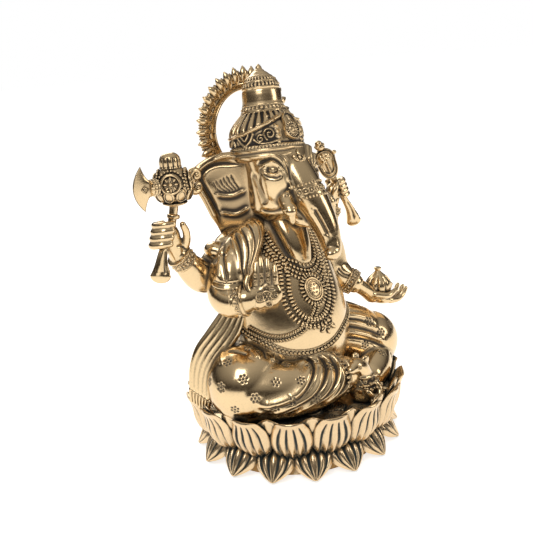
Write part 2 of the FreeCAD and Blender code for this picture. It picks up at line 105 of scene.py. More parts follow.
class Shader:
    """A material's node tree. node() adds any node: its type, its settings, then its sockets' values."""

    def __init__(self, tree):
        self.tree = tree
        tree.nodes.clear()

    def node(self, kind, settings=None, *values, out=0, **named):
        made = self.tree.nodes.new(kind)
        for key, value in (settings or {}).items():
            if key == "stops":
                for i, (place, colour) in enumerate(value):
                    stop = made.color_ramp.elements[i] if i < 2 else made.color_ramp.elements.new(place)
                    stop.position, stop.color = place, (*colour, 1)
            else:
                setattr(made, key, value)
        for key, value in list(enumerate(values)) + [(k.replace("_", " "), v) for k, v in named.items()]:
            if isinstance(value, Wire):
                self.tree.links.new(value.socket, made.inputs[key])
            elif value is not None:
                made.inputs[key].default_value = value
        return Wire(self, made.outputs[out]) if made.outputs else None

    def blend(self, share, first, second):
        """A colour between two, by a share from 0 to 1."""
        return self.node("ShaderNodeMix", {"data_type": "RGBA"}, share, *[None] * 5, first, second, out=2)


world = bpy.data.worlds.new("room")
world.use_nodes = True
bpy.context.scene.world = world
room = Shader(world.node_tree)
way = room.node("ShaderNodeTexCoord", {}, out="Generated")
height = room.node("ShaderNodeSeparateXYZ", {}, way, out="Z")
glow = room.node("ShaderNodeValToRGB", {"stops": [(0.0, (0.42, 0.38, 0.34)), (0.47, (0.16, 0.14, 0.12)),
                                                  (0.50, (0.03, 0.024, 0.02)), (0.60, (0.04, 0.034, 0.03)),
                                                  (0.70, (0.22, 0.21, 0.20)), (1.0, (0.62, 0.61, 0.59))]},
                 height * 0.5 + 0.5)
sight = room.node("ShaderNodeLightPath", {}, out="Is Camera Ray")
lit = room.node("ShaderNodeBackground", {}, room.blend(sight, glow, (1, 1, 1, 1)), 1.0)
room.node("ShaderNodeOutputWorld", {}, lit)


def softbox(name, place, aim, size, power, warmth=(1, 1, 1)):
    """A square softbox at place, facing aim. Places in metres."""
    data = bpy.data.lights.new(name, "AREA")
    data.shape, data.size, data.energy, data.color = "SQUARE", size, power, warmth
    lamp = bpy.data.objects.new(name, data)
    turn = (Vector(place) - Vector(aim)).to_track_quat("Z", "Y")
    lamp.matrix_world = Matrix.Translation(place) @ turn.to_matrix().to_4x4()
    bpy.context.scene.collection.objects.link(lamp)


softbox("key_softbox", (-0.55, -0.35, 0.75), (0, 0, 0.1), 0.42, 2.6)
softbox("fill_softbox", (0.55, -0.65, 0.45), (0, 0, 0.1), 0.34, 1.3, (1.0, 0.96, 0.9))
softbox("rim_softbox", (0.25, 0.7, 0.6), (0, 0, 0.12), 0.5, 2.4)

floor_mesh = bpy.data.meshes.new("floor")
floor_mesh.from_pydata([(-12, -12, 0), (12, -12, 0), (12, 12, 0), (-12, 12, 0)], [], [(0, 1, 2, 3)])
floor = bpy.data.objects.new("floor", floor_mesh)
bpy.context.scene.collection.objects.link(floor)
floor_paint = bpy.data.materials.new("pale_floor")
floor_paint.use_nodes = True
shade = Shader(floor_paint.node_tree)
plain = shade.node("ShaderNodeBsdfPrincipled", {}, Base_Color=(0.94, 0.94, 0.94, 1), Roughness=0.8,
                   Emission_Color=(1, 0.99, 0.97, 1), Emission_Strength=0.72)
shade.node("ShaderNodeOutputMaterial", {}, plain)
floor_mesh.materials.append(floor_paint)

# ---- Lotus drum and seat plate ---------------------------------------------------------------
# The base is a hollow oval drum with a plate on top, sand-cast. Its brass is left under a dark
# grey-green wash, and only the ringed coins cast on the seat are rubbed bright. Where other pieces
# come close to the seat, the wash colour is also painted shade.


occlusion_shade_reach = 3.2        # how far from a meeting of two pieces the painted shade (ambient occlusion) reaches
cast_grain = 0.12       # strength of the fine grain left by the mould


def brass(name, bright, wash, polish, patina=1.0):
    """Cast brass: bright where it is buffed, wash-coloured in its hollows and where pieces meet.
    In the hollows the wash is patina and follows the cast hollow attribute; where pieces meet it is
    painted shade and follows how little open sky a point can see."""
    material = bpy.data.materials.new(name)
    material.use_nodes = True
    s = Shader(material.node_tree)
    spot = s.node("ShaderNodeTexCoord", {}, out="Object")
    hollow = s.node("ShaderNodeAttribute", {"attribute_name": "hollow"}, out="Fac")
    sky = s.node("ShaderNodeAmbientOcclusion", {"samples": 6}, Distance=occlusion_shade_reach * MM, out="AO")
    speckle = s.node("ShaderNodeTexNoise", {}, spot, Scale=900.0, Detail=3.0, Roughness=0.6)
    cloud = s.node("ShaderNodeTexNoise", {}, spot, Scale=70.0, Detail=2.0, Roughness=0.5)
    # Painted shade: the less open sky a point sees past nearby pieces (ambient occlusion), the more it takes
    # the wash colour; the hollow attribute adds the real patina
    occlusion_shade = (1.0 - sky) * 1.9 - 0.42
    patina_and_shade = ((hollow * 1.0 + occlusion_shade.clamp() * 1.15) * patina + (speckle - 0.5) * 0.16).clamp()
    gold = s.blend(cloud, (*[c * 0.86 for c in bright], 1), (*bright, 1))
    colour = s.blend(patina_and_shade, gold, (*wash, 1))
    rough = (patina_and_shade * 0.45 + (cloud * 0.08 + speckle * 0.05) + polish).clamp()
    metal = (1.0 - patina_and_shade * 0.8).clamp()
    bumps = s.node("ShaderNodeBump", {}, Strength=cast_grain, Distance=0.2 * MM, Height=speckle)
    surface = s.node("ShaderNodeBsdfPrincipled", {}, Base_Color=colour, Metallic=metal, Roughness=rough,
                     Normal=bumps)
    s.node("ShaderNodeOutputMaterial", {}, surface)
    return material


# Each patina factor scales the patina in the hollows and the painted shade where pieces meet alike; the high
# factors of antique_brass and petal_brass paint deep shade between beads and between petals
polished = brass("polished_brass", (0.74, 0.55, 0.315), (0.045, 0.031, 0.018), 0.11)
relief_brass = brass("antique_brass", (0.72, 0.53, 0.30), (0.020, 0.014, 0.009), 0.15, patina=1.9)
petal_brass = brass("petal_brass", (0.74, 0.55, 0.33), (0.014, 0.022, 0.021), 0.17, patina=1.5)
dark_brass = brass("patina_brass", (0.62, 0.47, 0.28), (0.016, 0.020, 0.018), 0.22, patina=1.5)
steel = brass("plain_steel", (0.60, 0.60, 0.58), (0.10, 0.10, 0.10), 0.25)
finishes = {"polished_brass": polished, "antique_brass": relief_brass, "patina_brass": dark_brass,
            "plain_steel": steel}
for entry in frame["record"]["subparts"]:
    node = frame["nodes"][entry["node"]]
    node.data.materials.clear()
    node.data.materials.append(finishes[entry["material_slot"]])


def flow(rows, count):
    """A smooth run of count rows through the given rows: a Catmull-Rom curve, each value a cubic of
    its two neighbours on either side."""
    rows = np.asarray(rows, float)
    if rows.ndim == 1:
        rows = rows[:, None]
    padded = np.vstack([2 * rows[0] - rows[1], rows, 2 * rows[-1] - rows[-2]])
    t = np.linspace(0, len(rows) - 1, count)
    i = np.minimum(t.astype(int), len(rows) - 2)
    f = (t - i)[:, None]
    a, b, c, d = (padded[i + k] for k in range(4))
    return 0.5 * (2 * b + (c - a) * f + (2 * a - 5 * b + 4 * c - d) * f ** 2 + (3 * b - a - 3 * c + d)
                  * f ** 3)


def skin(grid, ends=(True, True)):
    """Vertices and faces of a grid of points: rows along, columns round. A closed end gets a centre point."""
    rows, cols = grid.shape[:2]
    verts = grid.reshape(-1, 3)
    r, c = np.meshgrid(np.arange(rows - 1), np.arange(cols), indexing="ij")
    a, b = r * cols + c, r * cols + (c + 1) % cols
    faces = [np.stack([a, b, b + cols, a + cols], -1).reshape(-1, 4)]
    for closed, row in zip(ends, (0, rows - 1)):
        if closed:
            ring = row * cols + np.arange(cols)
            hub = np.full(cols, len(verts))
            verts = np.vstack([verts, grid[row].mean(0)])
            faces.append(np.stack([ring, np.roll(ring, -1), hub, hub], -1))
    return verts, np.vstack(faces)


def gather(bodies):
    """Several (vertices, faces) bodies as one."""
    starts = np.cumsum([0] + [len(v) for v, _ in bodies])
    return np.vstack([v for v, _ in bodies]), np.vstack([f + s for (_, f), s in zip(bodies, starts)])


def edges_of(faces):
    """Each face's corner pairs, both ways round."""
    pairs = np.vstack([faces[:, [0, 1]], faces[:, [1, 2]], faces[:, [2, 3]], faces[:, [3, 0]]])
    pairs = pairs[pairs[:, 0] != pairs[:, 1]]
    return np.vstack([pairs, pairs[:, ::-1]])


def relax(verts, pairs, times):
    """Each point moves to the middle of its neighbours, so many times."""
    count = np.maximum(np.bincount(pairs[:, 0], minlength=len(verts)), 1)[:, None]
    for _ in range(times):
        verts = np.stack([np.bincount(pairs[:, 0], verts[pairs[:, 1], k], len(verts)) for k in range(3)],
                         -1) / count
    return verts


def closed_mesh(name, verts, faces):
    """A mesh of the given skin with every face turned outward. Faces whose last two corners are the
    same are triangles."""
    mesh = bpy.data.meshes.new(name)
    flat = faces[:, 2] == faces[:, 3]
    mesh.from_pydata(verts.tolist(), [], faces[~flat].tolist() + faces[flat][:, :3].tolist())
    work = bmesh.new()
    work.from_mesh(mesh)
    bmesh.ops.recalc_face_normals(work, faces=work.faces)
    work.to_mesh(mesh)
    work.free()
    return mesh


def normals_of(verts, faces):
    """The mean normal of the faces round each point, from the cross products of their diagonals."""
    across = np.cross(verts[faces[:, 2]] - verts[faces[:, 0]], verts[faces[:, 3]] - verts[faces[:, 1]])
    across = np.where(np.abs(across).sum(1, keepdims=True) > 0, across,
                      np.cross(verts[faces[:, 1]] - verts[faces[:, 0]],
                               verts[faces[:, 2]] - verts[faces[:, 0]]))
    normal = np.stack([sum(np.bincount(faces[:, j], across[:, k], len(verts)) for j in range(4))
                       for k in range(3)], -1)
    return normal / np.maximum(np.linalg.norm(normal, axis=1, keepdims=True), 1e-12)


def make(name, body, material, slot, replaces, smooth_steps=8, depth=0.22):
    """A finished piece of the statue, in metres. The wash keeps to its hollows: a point's hollow value
    grows as it lies below its neighbourhood's mean, and is full at depth."""
    verts, faces = body
    mesh = closed_mesh(name, (verts + [0, 0, SEAT]) * MM, faces)
    normal = np.zeros(len(verts) * 3, np.float32)
    mesh.vertex_normals.foreach_get("vector", normal)
    below = ((relax(verts, edges_of(faces), smooth_steps) - verts) * normal.reshape(-1, 3)).sum(1)
    value = np.clip(below / depth, 0, 1)
    mesh.attributes.new("hollow", "FLOAT", "POINT").data.foreach_set("value", value.astype(np.float32))
    mesh.shade_smooth()
    mesh.materials.append(material)
    piece = bpy.data.objects.new(name, mesh)
    bpy.context.scene.collection.objects.link(piece)
    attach(piece, "root")
    if replaces:
        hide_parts(*replaces)
    return piece


def buffed(name, body, *replaces, **finish):
    """A piece buffed bright all over."""
    return make(name, body, polished, "polished_brass", replaces, **finish)


def washed(name, bodies, *replaces, **finish):
    """A piece of fine relief, left dark between its details by patina and by painted shade."""
    return make(name, gather(bodies), relief_brass, "antique_brass", replaces, **finish)


seat_low, seat_high = (np.array(corner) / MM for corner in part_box("seat_plate"))
seat_half = (seat_high - seat_low)[:2] / 2
coin_radius, coin_ring = 6.2, 1.25
coins = [(-14.5, -27.5), (-3.5, -34.0), (-26.5, -35.5), (-36.5, -28), (-10, -42.5), (2, -44), (26, -41),
         (33, -33), (38, 22), (24, 33), (5, 41), (-14, 40), (-31, 30), (-43, 14), (44, 6), (14, 30),
         (-24, 41)]


def seat_relief(x, y):
    """Height of the seat's relief: each coin is a low disc carrying rings coin_ring apart, and
    little wavelets fill the field between."""
    height = 0.16 * np.sin(x * 1.9 + 1.3 * np.sin(y * 0.9)) * np.sin(y * 1.7 + 1.1 * np.sin(x * 0.8))
    for cx, cy in coins:
        d = np.hypot(x - cx, y - cy)
        coin = np.clip((coin_radius - d) / 0.8, 0,
                       1) + 0.36 * np.cos(2 * np.pi * d / coin_ring) * (d < coin_radius)
        height = np.where(d < coin_radius + 0.6, np.maximum(coin, 0.05), height)
    return height


reach, turn = np.meshgrid(np.linspace(0, 1, 130) ** 0.8, np.linspace(0, 2 * np.pi, 620, endpoint=False),
                          indexing="ij")
x, y = seat_half[0] * reach * np.cos(turn), seat_half[1] * reach * np.sin(turn)
top = np.stack([x, y, np.minimum(seat_relief(x, y), 3.0 * (1 - reach) * 20)], -1)
rim = np.stack([x[-1:], y[-1:], 0 * x[-1:] - 3.0], -1)
make("seat_relief", skin(np.concatenate([top[1:], rim])), dark_brass, "patina_brass", (), smooth_steps=6,
     depth=0.16)

# ---- Lotus petals ----------------------------------------------------------------------------
# Sixteen cupped petals stand up round the seat, sixteen hang to the ground, and small tips fill
# the gaps. They are cast with deep flutes, brazed on, washed dark and buffed on their ribs; the dark
# between neighbouring petals is painted shade.
petal_count = 16
upper_low, upper_high = (np.array(corner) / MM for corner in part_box("upper_petals"))
upper_half = (upper_high - upper_low)[:2] / 2
lower_low, lower_high = (np.array(corner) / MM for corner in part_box("lower_petals"))
lower_half = (lower_high - lower_low)[:2] / 2


def petal(angle, half, rows, flutes, groove, fine):
    """One petal. Rows down its middle give (short of the rim, height above ground, half width,
    thickness, cup). Flutes are grooves at fixed shares of the half width: each is a bell curve
    across the petal, deepest low down and run out before the tip. fine is the number of steps across."""
    across, along = fine, round(0.8 * fine)
    line = flow(rows, along)
    v = np.linspace(0, 1, along)[:, None]
    out = np.array([math.cos(angle), math.sin(angle), 0])
    side = np.array([-math.sin(angle), math.cos(angle), 0])
    rim = half[0] * half[1] / math.hypot(half[1] * math.cos(angle), half[0] * math.sin(angle))
    centre = out * (rim - line[:, :1]) + np.array([0, 0, 1]) * line[:, 1:2]
    way = np.gradient(centre, axis=0)
    way /= np.linalg.norm(way, axis=1, keepdims=True)
    face = -np.cross(way, side)
    face *= np.sign(face @ (out + [0, 0, 0.5]))[:, None]
    wide, thick, cup = (np.maximum(line[:, k:k + 1], 0.05) for k in (2, 3, 4))
    u = np.sin(np.linspace(-np.pi / 2, np.pi / 2, across))[None]
    swell = 0.5 * thick * np.sqrt(np.clip(1 - np.abs(u) ** 2.6, 0, 1))
    body = np.clip((0.84 - v) / 0.60, 0, 1) * np.clip((v - 0.05) / 0.16, 0, 1)
    cut = sum(np.exp(-(np.abs((u - f) * wide) / (0.2 + 1.15 * body)) ** 3)
              for f in flutes) * groove * body ** 0.8
    cut = cut + 0.35 * groove * body * np.exp(-((1 - np.abs(u)) / 0.10) ** 2)
    rib = 0.35 * np.cos(np.pi * u) ** 2 * body
    offsets = [swell - cup * u ** 2 - cut + rib, (-swell - cup * u ** 2)[:, ::-1][:, 1:-1][:, ::3]]
    columns = [u * wide, (u * wide)[:, ::-1][:, 1:-1][:, ::3]]
    depth, span = np.concatenate(offsets, 1), np.concatenate(columns, 1)
    grid = centre[:, None] + side * span[..., None] + face[:, None] * depth[..., None]
    return skin(grid - [0, 0, SEAT])


upper_rows = [(16.5, 11.0, 2.2, 3.0, 0.2), (11.6, 12.6, 6.6, 5.0, 0.6), (7.2, 17.0, 9.6, 6.4, 1.4),
              (4.4, 22.5, 10.7, 6.0, 2.0), (3.0, 27.5, 9.7, 4.6, 2.0), (1.4, 31.2, 8.0, 3.2, 1.4),
              (-0.2, 33.6, 7.0, 2.4, 1.0), (-1.2, 34.5, 6.2, 1.2, 0.8)]
lower_rows = [(13.0, 14.0, 5.6, 4.0, 0.2), (9.4, 13.0, 8.8, 5.0, 1.0), (6.0, 10.2, 10.0, 5.4, 1.8),
              (3.4, 6.8, 8.8, 4.6, 1.6), (1.3, 3.9, 5.4, 3.2, 0.8), (-0.2, 1.9, 1.8, 2.0, 0.0),
              (-0.5, 1.4, 0.6, 1.2, 0.0)]
inner_rows = [(7.6, SEAT - 2.0, 5.6, 2.6, 0.4), (5.8, SEAT + 1.6, 6.6, 3.0, 0.8),
              (4.0, SEAT + 5.2, 5.8, 2.6, 0.6), (2.6, SEAT + 7.8, 2.8, 1.8, 0.2),
              (2.2, SEAT + 8.8, 0.6, 1.0, 0.0)]
for name, half, rows, shift, flutes, groove, fine in (
        ("upper_petals", upper_half, upper_rows, 0, (-0.60, -0.21, 0.21, 0.60), 1.7, 58),
        ("lower_petals", lower_half, lower_rows, 0.5, (-0.64, -0.24, 0.24, 0.64), 1.6, 58),
        ("inner_petals", upper_half, inner_rows, 0.5, (-0.4, 0.4), 0.5, 30)):
    angles = [math.radians(-90 + (i + shift) * 360 / petal_count) for i in range(petal_count)]
    make(name, gather([petal(a, half, rows, flutes, groove, fine) for a in angles]), petal_brass,
         "antique_brass", [name], smooth_steps=26, depth=0.34)

# ---- Torso ------------------------------------------------------------------------------------
# The body is one hollow casting: hips, round belly, chest and neck, polished bright all over. It is
# bolted to the seat plate from beneath.


def oval_stack(rows, count=90, around=96):
    """A body of level ovals. Rows are (height, centre x, centre y, half width, half depth)."""
    z, cx, cy, a, b = (column[:, None] for column in flow(rows, count).T)
    t = np.linspace(0, 2 * np.pi, around, endpoint=False)[None]
    return skin(np.stack([cx + a * np.cos(t), cy + b * np.sin(t), z + 0 * t], -1))


def egg(centre, radii, turn=(0, 0, 0), around=48, along=32):
    """An ellipsoid of the given half axes, turned by x, y and z angles in degrees."""
    p, t = np.meshgrid(np.linspace(0.02, np.pi - 0.02, along), np.linspace(0, 2 * np.pi, around,
            endpoint=False), indexing="ij")
    ball = np.stack([np.sin(p) * np.cos(t), np.sin(p) * np.sin(t), -np.cos(p)], -1) * radii
    a, b, c = np.radians(turn)
    rx = np.array([[1, 0, 0], [0, math.cos(a), -math.sin(a)], [0, math.sin(a), math.cos(a)]])
    ry = np.array([[math.cos(b), 0, math.sin(b)], [0, 1, 0], [-math.sin(b), 0, math.cos(b)]])
    rz = np.array([[math.cos(c), -math.sin(c), 0], [math.sin(c), math.cos(c), 0], [0, 0, 1]])
    return skin(ball @ (rz @ ry @ rx).T + centre)


def sweep(rows, flat=1.0, across=(0, 0, 1), count=60, around=32, power=2.0):
    """A tapered bar along rows of (x, y, z, radius[, flatness]). Its section is a superellipse: the
    radius along across, and flatness times that the other way. Domed caps close both ends."""
    line = flow(rows, count)
    middle, radius = line[:, :3], np.maximum(line[:, 3:4], 0.02)
    thin = line[:, 4:5] if line.shape[1] > 4 else flat
    way = np.gradient(middle, axis=0)
    way /= np.linalg.norm(way, axis=1, keepdims=True)
    s = np.linspace(np.pi / 2, 0.15, 6)[:, None]
    start = middle[:1] - way[:1] * radius[0] * np.sin(s) * np.mean(thin) ** 0.5
    end = middle[-1:] + way[-1:] * radius[-1] * np.sin(s)[::-1] * np.mean(thin) ** 0.5
    middle = np.vstack([start, middle, end])
    way = np.vstack([np.repeat(way[:1], 6, 0), way, np.repeat(way[-1:], 6, 0)])
    fade = np.maximum(np.cos(s), 0.08)
    radius = np.vstack([radius[0] * fade, radius, radius[-1] * fade[::-1]])
    if np.ndim(thin):
        thin = np.vstack([np.repeat(thin[:1], 6, 0), thin, np.repeat(thin[-1:], 6, 0)])
    u = np.asarray(across, float) - way * (way @ np.asarray(across, float))[:, None]
    u /= np.linalg.norm(u, axis=1, keepdims=True)
    v = np.cross(way, u)
    t = np.linspace(0, 2 * np.pi, around, endpoint=False)
    c, s = (np.sign(w) * np.abs(w) ** (2 / power) for w in (np.cos(t), np.sin(t)))
    grid = middle[:, None] + (u * radius)[:, None] * c[None, :, None] + (v * radius * thin)[:,
            None] * s[None, :, None]
    return skin(grid)


def cast(bodies, grain, steps=4):
    """Bodies melted into one skin: a voxel remesh of their union at the given grain, then a light
    smoothing that rounds the creases between them."""
    verts, faces = gather(bodies)
    mould = bpy.data.objects.new("mould", closed_mesh("mould", verts, faces))
    bpy.context.scene.collection.objects.link(mould)
    modifier = mould.modifiers.new("melt", "REMESH")
    modifier.mode, modifier.voxel_size, modifier.adaptivity = "VOXEL", grain, 0.0
    result = bpy.data.meshes.new_from_object(mould.evaluated_get(bpy.context.evaluated_depsgraph_get()))
    verts = np.zeros(len(result.vertices) * 3, np.float32)
    result.vertices.foreach_get("co", verts)
    faces = np.zeros(len(result.loops), np.int32)
    result.loops.foreach_get("vertex_index", faces)
    bpy.data.objects.remove(mould)
    faces = faces.reshape(-1, 4).astype(int)
    return relax(verts.reshape(-1, 3).astype(float), edges_of(faces), steps), faces


def trace(verts, path):
    """How far each point is from a smooth path, and how far along the path its nearest place is, 0 to 1."""
    line = flow(path, 80)
    a, ab = line[:-1], np.diff(line, axis=0)
    low, high = line.min(0) - 6, line.max(0) + 6
    near = np.where(((verts > low) & (verts < high)).all(1))[0]
    best, share = np.full(len(verts), 99.0), np.zeros(len(verts))
    point = verts[near]
    for i in range(len(a)):
        t = np.clip(((point - a[i]) @ ab[i]) / max(ab[i] @ ab[i], 1e-9), 0, 1)
        d = np.linalg.norm(point - a[i] - t[:, None] * ab[i], axis=1)
        closer = d < best[near]
        best[near[closer]], share[near[closer]] = d[closer], (i + t[closer]) / len(a)
    return best, share


def tree_of(body):
    """A search tree over a body's faces."""
    return BVHTree.FromPolygons(body[0].tolist(), [f[:3] if f[2] == f[3] else f for f in body[1].tolist()])


def relief(body, *lines):
    """Raised or sunk lines on a body. Each line is (path, half width, height): the path is laid on the
    skin, and the skin moves along its normal by a bell curve of its distance from it."""
    verts, faces = body
    tree = tree_of(body)
    pairs = edges_of(faces)
    normal = relax(normals_of(verts, faces), pairs, 2)
    normal /= np.maximum(np.linalg.norm(normal, axis=1, keepdims=True), 1e-9)
    lift = np.zeros(len(verts))
    for path, width, height in lines:
        laid = [tuple(tree.find_nearest(Vector(point))[0]) for point in flow(path, 4 * len(path))]
        d, share = trace(verts, laid)
        fade = np.clip(np.minimum(share, 1 - share) / 0.12, 0.1, 1)
        lift += height * fade * np.exp(-(d / (width * (0.5 + 0.5 * fade))) ** 2)
    return verts + normal * lift[:, None], faces


def cut_below(body, height=0.0):
    """The body with everything under a height pressed flat to it."""
    verts, faces = body
    return np.stack([verts[:, 0], verts[:, 1], np.maximum(verts[:, 2], height)], -1), faces


torso_rows = [(0.2, -1, 4, 27, 20), (8, -1, 2, 31, 24), (22, -2, -3, 33, 26), (38, -3, -5, 32.5, 26.5),
              (52, -3, -4, 31, 25.5), (64, -3, -1, 29.5, 23.5), (76, -3, 3, 29, 20), (86, -2, 7, 26, 16),
              (94, -1, 8, 18, 13), (101, -1, 8, 12, 11.5), (105, -1, 8, 11, 11)]
throat = sweep([(-1, -2, 100, 10), (-2.5, -9, 92, 9), (-3, -14, 83, 7.5), (-3, -17, 76, 5)], 0.6,
               across=(1, 0, 0))
torso = cast([oval_stack(torso_rows), throat], 0.7, 6)
buffed("torso_casting", torso, "torso")

# ---- Legs in a dhoti ---------------------------------------------------------------------------
# Both folded legs are cast in their wrapped cloth. The cloth pulls into curved folds at the lap and
# toward the cuff, and six-petalled flowers are punched into the polished brass with a small die.
right_leg = cast([egg((-39, -9, 19.5), (21, 19.5, 20), around=96, along=64),
                  sweep([(-12, 4, 17, 17), (-26, -1, 20, 19.5), (-36, -6, 20, 19)]),
                  sweep([(-42, -14, 18, 15), (-29, -23, 16.5, 15), (-15, -28, 15, 13.2),
                         (-5, -31, 15, 11.4), (2.5, -33, 16, 10.2)]),
                  sweep([(-20, -12, 34, 8), (-12, -22, 29, 8), (-4, -28, 23, 8)]),], 0.46, 7)
folds = []
for k, loop in enumerate(([(-21, -25, 33), (-19, -32, 29), (-24, -36.5, 24.7), (-32, -37.2, 19),
                           (-42, -32.8, 16), (-49, -27, 16)], [(-14, -28, 31), (-12.5, -35, 28),
                                                               (-16.2, -38, 23.3), (-24, -39.6, 17),
                                                               (-35.5, -36, 13), (-44, -31, 9)],
                          [(-8.5, -31, 30), (-7.5, -36, 27), (-10.5, -40, 21), (-16.4, -41, 15),
                           (-28, -38.7, 9), (-38, -33, 5)], [(-3, -32, 28), (-2.5, -38, 24), (-5, -42, 18),
                                                             (-10, -42, 11.5), (-21, -39, 5.5)])):
    folds.append((loop, (2.6, 1.5, 1.4, 1.3)[k], (2.0, 1.3, 1.2, 1.1)[k]))
    folds.append(([(x + 3.4, y - 0.4, z - 1.0) for x, y, z in loop], 0.9, -1.2))
    folds.append(([(x + 5.0, y - 0.6, z - 0.6) for x, y, z in loop], 0.7, 0.6))
folds += [([(-35, -10, 40), (-33, -17, 37.5), (-36, -21.5, 34.5)], 1.3, -1.3),
          ([(-30, -12, 39.5), (-29, -19, 36), (-33, -23, 32.5)], 1.2, 1.0),
          ([(-25, -15, 38.5), (-26, -21.5, 34.5), (-31.5, -25, 31)], 1.0, -1.2),
          ([(-41, -7, 40.5), (-39, -15, 38.5), (-39.5, -20.5, 35)], 1.3, 0.9),
          ([(-47, -3, 39), (-45, -11, 38.6), (-43, -16, 37.5)], 1.0, -0.9),
          ([(-46, 3, 38.5), (-51, -4, 36), (-53, -10, 33)], 1.5, 0.8)]
right_leg = cut_below(relief(right_leg, *folds), 0.3)

left_leg = cast([
    egg((46, -12, 17), (18, 16.5, 17)),
    sweep([(14, 2, 24, 16), (28, -4, 26, 17.5), (38, -9, 22, 17)]),
    sweep([(44, -19, 10, 10), (36, -26, 8.5, 9.4), (27, -31, 7, 8)]),
], 0.50, 7)
folds = []
for k in range(6):
    s = k / 5
    folds.append(([(22, -16 + 3 * s, 40 - 12 * s), (32, -22 - 2 * s, 40 - 16 * s),
                   (42 + 2 * s, -26 - 2 * s, 35 - 18 * s)], 1.5 - 0.4 * s, 0.9 * (-1) ** k))
left_leg = cut_below(relief(left_leg, *folds), 0.3)


flower_size, flower_depth = 1.15, 0.4


def punch(body, spots):
    """Six-petalled flowers sunk in the skin about the points nearest the given spots. A petal is a
    round dot, and so is the flower's middle."""
    verts, faces = body
    normal = normals_of(verts, faces)
    sunk = np.zeros(len(verts))
    for k, spot in enumerate(spots):
        i = np.argmin(np.linalg.norm(verts - spot, axis=1))
        middle, aim = verts[i], normal[i]
        side = np.cross(aim, (0.2, 0.1, 1.0))
        side /= np.linalg.norm(side)
        lift = np.cross(side, aim)
        p, q = (verts - middle) @ side, (verts - middle) @ lift
        near = np.linalg.norm(verts - middle, axis=1) < 4
        for j in range(7):
            r, a = (1.5 * flower_size if j < 6 else 0.0), j * math.pi / 3 + 0.4 * k
            dot = np.hypot(p - r * math.cos(a), q - r * math.sin(a))
            sunk = np.maximum(sunk, near * np.clip((0.66 * flower_size - dot) / 0.3, 0, 1))
    return verts - normal * flower_depth * sunk[:, None], faces, sunk


def place_punched(node, body, spots):
    """Adds a leg with its punched flowers filled with wash."""
    verts, faces, sunk = punch(body, spots)
    piece = buffed(node + "_casting", (verts, faces), node)
    value = np.zeros(len(verts), np.float32)
    hollow = piece.data.attributes["hollow"].data
    hollow.foreach_get("value", value)
    hollow.foreach_set("value", np.maximum(value, 0.95 * sunk).astype(np.float32))


place_punched("right_leg", right_leg, [(-40, -13, 40), (-51.5, -11, 35), (-51, -21.5, 29), (-39, -31, 26),
                                       (-58.5, -13, 25), (-49, -27, 20), (-58.5, -3, 25), (-56, -19, 14),
                                       (-28.5, -27, 31), (-42, -33, 14), (-18.5, -34.5, 28.5),
                                       (-27.5, -36.5, 23.5), (-35, -38, 16.5), (-10, -37, 27),
                                       (-22, -41, 14), (-55, 3, 32), (-47, 6, 38), (-58, 2, 14)])
place_punched("left_leg", left_leg, [(43, -25, 26), (31, -25, 22), (38, -30, 16), (37, -22, 33),
                                     (41, -14, 38), (52, -22, 26), (60, -14, 22), (50, -8, 35),
                                     (56, -2, 30), (61, -9, 12), (46, -30, 12)])

# ---- Head and trunk ----------------------------------------------------------------------------
# The elephant head and its trunk are one casting. Eyes, lids, the cheek line and the band on the
# trunk are chased into the wax before casting, then the brass is buffed.


face_middle = -0.5


def mirrored(path):
    """A path's mirror image in the face's middle."""
    return [(2 * face_middle - x, y, z) for x, y, z in path]


head_rows = [(96, -1, -1, 10, 10), (99, -1, -1, 14, 13), (103, -1, -1, 17, 16), (113, 0, -1, 18.6, 17),
             (123, 0, 0, 18.6, 17), (131, -1, 3, 18, 17.5), (137, -1.5, 5, 14.5, 14.5)]
trunk_line = [(-0.5, -6.5, 128, 8.4), (0.2, -11, 120, 9.3), (1.4, -17, 111, 9.0), (3.2, -22.5, 102, 7.8),
              (4.6, -27, 93, 6.4), (4.6, -29.5, 86, 5.4), (3.0, -32, 81.5, 4.4), (0.2, -33.5, 81, 3.2)]
head = cast([oval_stack(head_rows, 50, 80), sweep(trunk_line, count=70, across=(1, 0, 0)),
             egg((-9.0, -7.2, 117.5), (9.0, 9.0, 16)), egg((8.5, -7.2, 117.5), (9.0, 9.0, 16)),
             sweep([(-4, -10, 103, 7), (-2, -17, 97.5, 5.2), (-1, -20, 95.5, 3)], 0.8, across=(1, 0, 0)),
             sweep([(-9, -13, 110, 4.5), (-12.2, -18.5, 106, 3.6), (-13, -21, 104, 3.3)],
                   across=(0, 0, 1)), sweep([(9, -13, 110, 4.5), (12.2, -18.5, 106, 3.6),
                                             (13, -21, 104, 3.3)], across=(0, 0, 1))], 0.46, 5)
brow = [(-18.5, -4, 127.2), (-16.8, -7.5, 129.8), (-13.5, -11, 130.8), (-10.5, -14.5, 127.5),
        (-9.2, -16.5, 121.8), (-9.5, -18, 116.5), (-10.6, -17.8, 112), (-12.7, -14.8, 108)]
upper_brow = [(-17.2, -6, 131.4), (-14, -10.2, 133), (-10, -14, 130.8), (-7.4, -16.4, 124)]
upper_lid = [(-18.2, -5.5, 124.2), (-16.2, -9, 126.2), (-13.3, -12.2, 126.6), (-11, -14.6, 123.9),
             (-10.2, -15.6, 121.3)]
inner_lid = [(-17.2, -7.3, 123.6), (-15.8, -9.8, 125.3), (-13.3, -12.3, 125.5), (-11.6, -14.2, 122.7)]
lower_lid = [(-17.2, -7.3, 123.4), (-16.2, -9.5, 121.9), (-13.9, -12.2, 121.0), (-11.5, -14.3, 122.2)]
lid_groove = [(-18.4, -5, 126.0), (-16.4, -8.4, 128.1), (-13.4, -11.7, 128.7), (-10.8, -14.6, 125.6),
              (-9.8, -16, 121.4)]
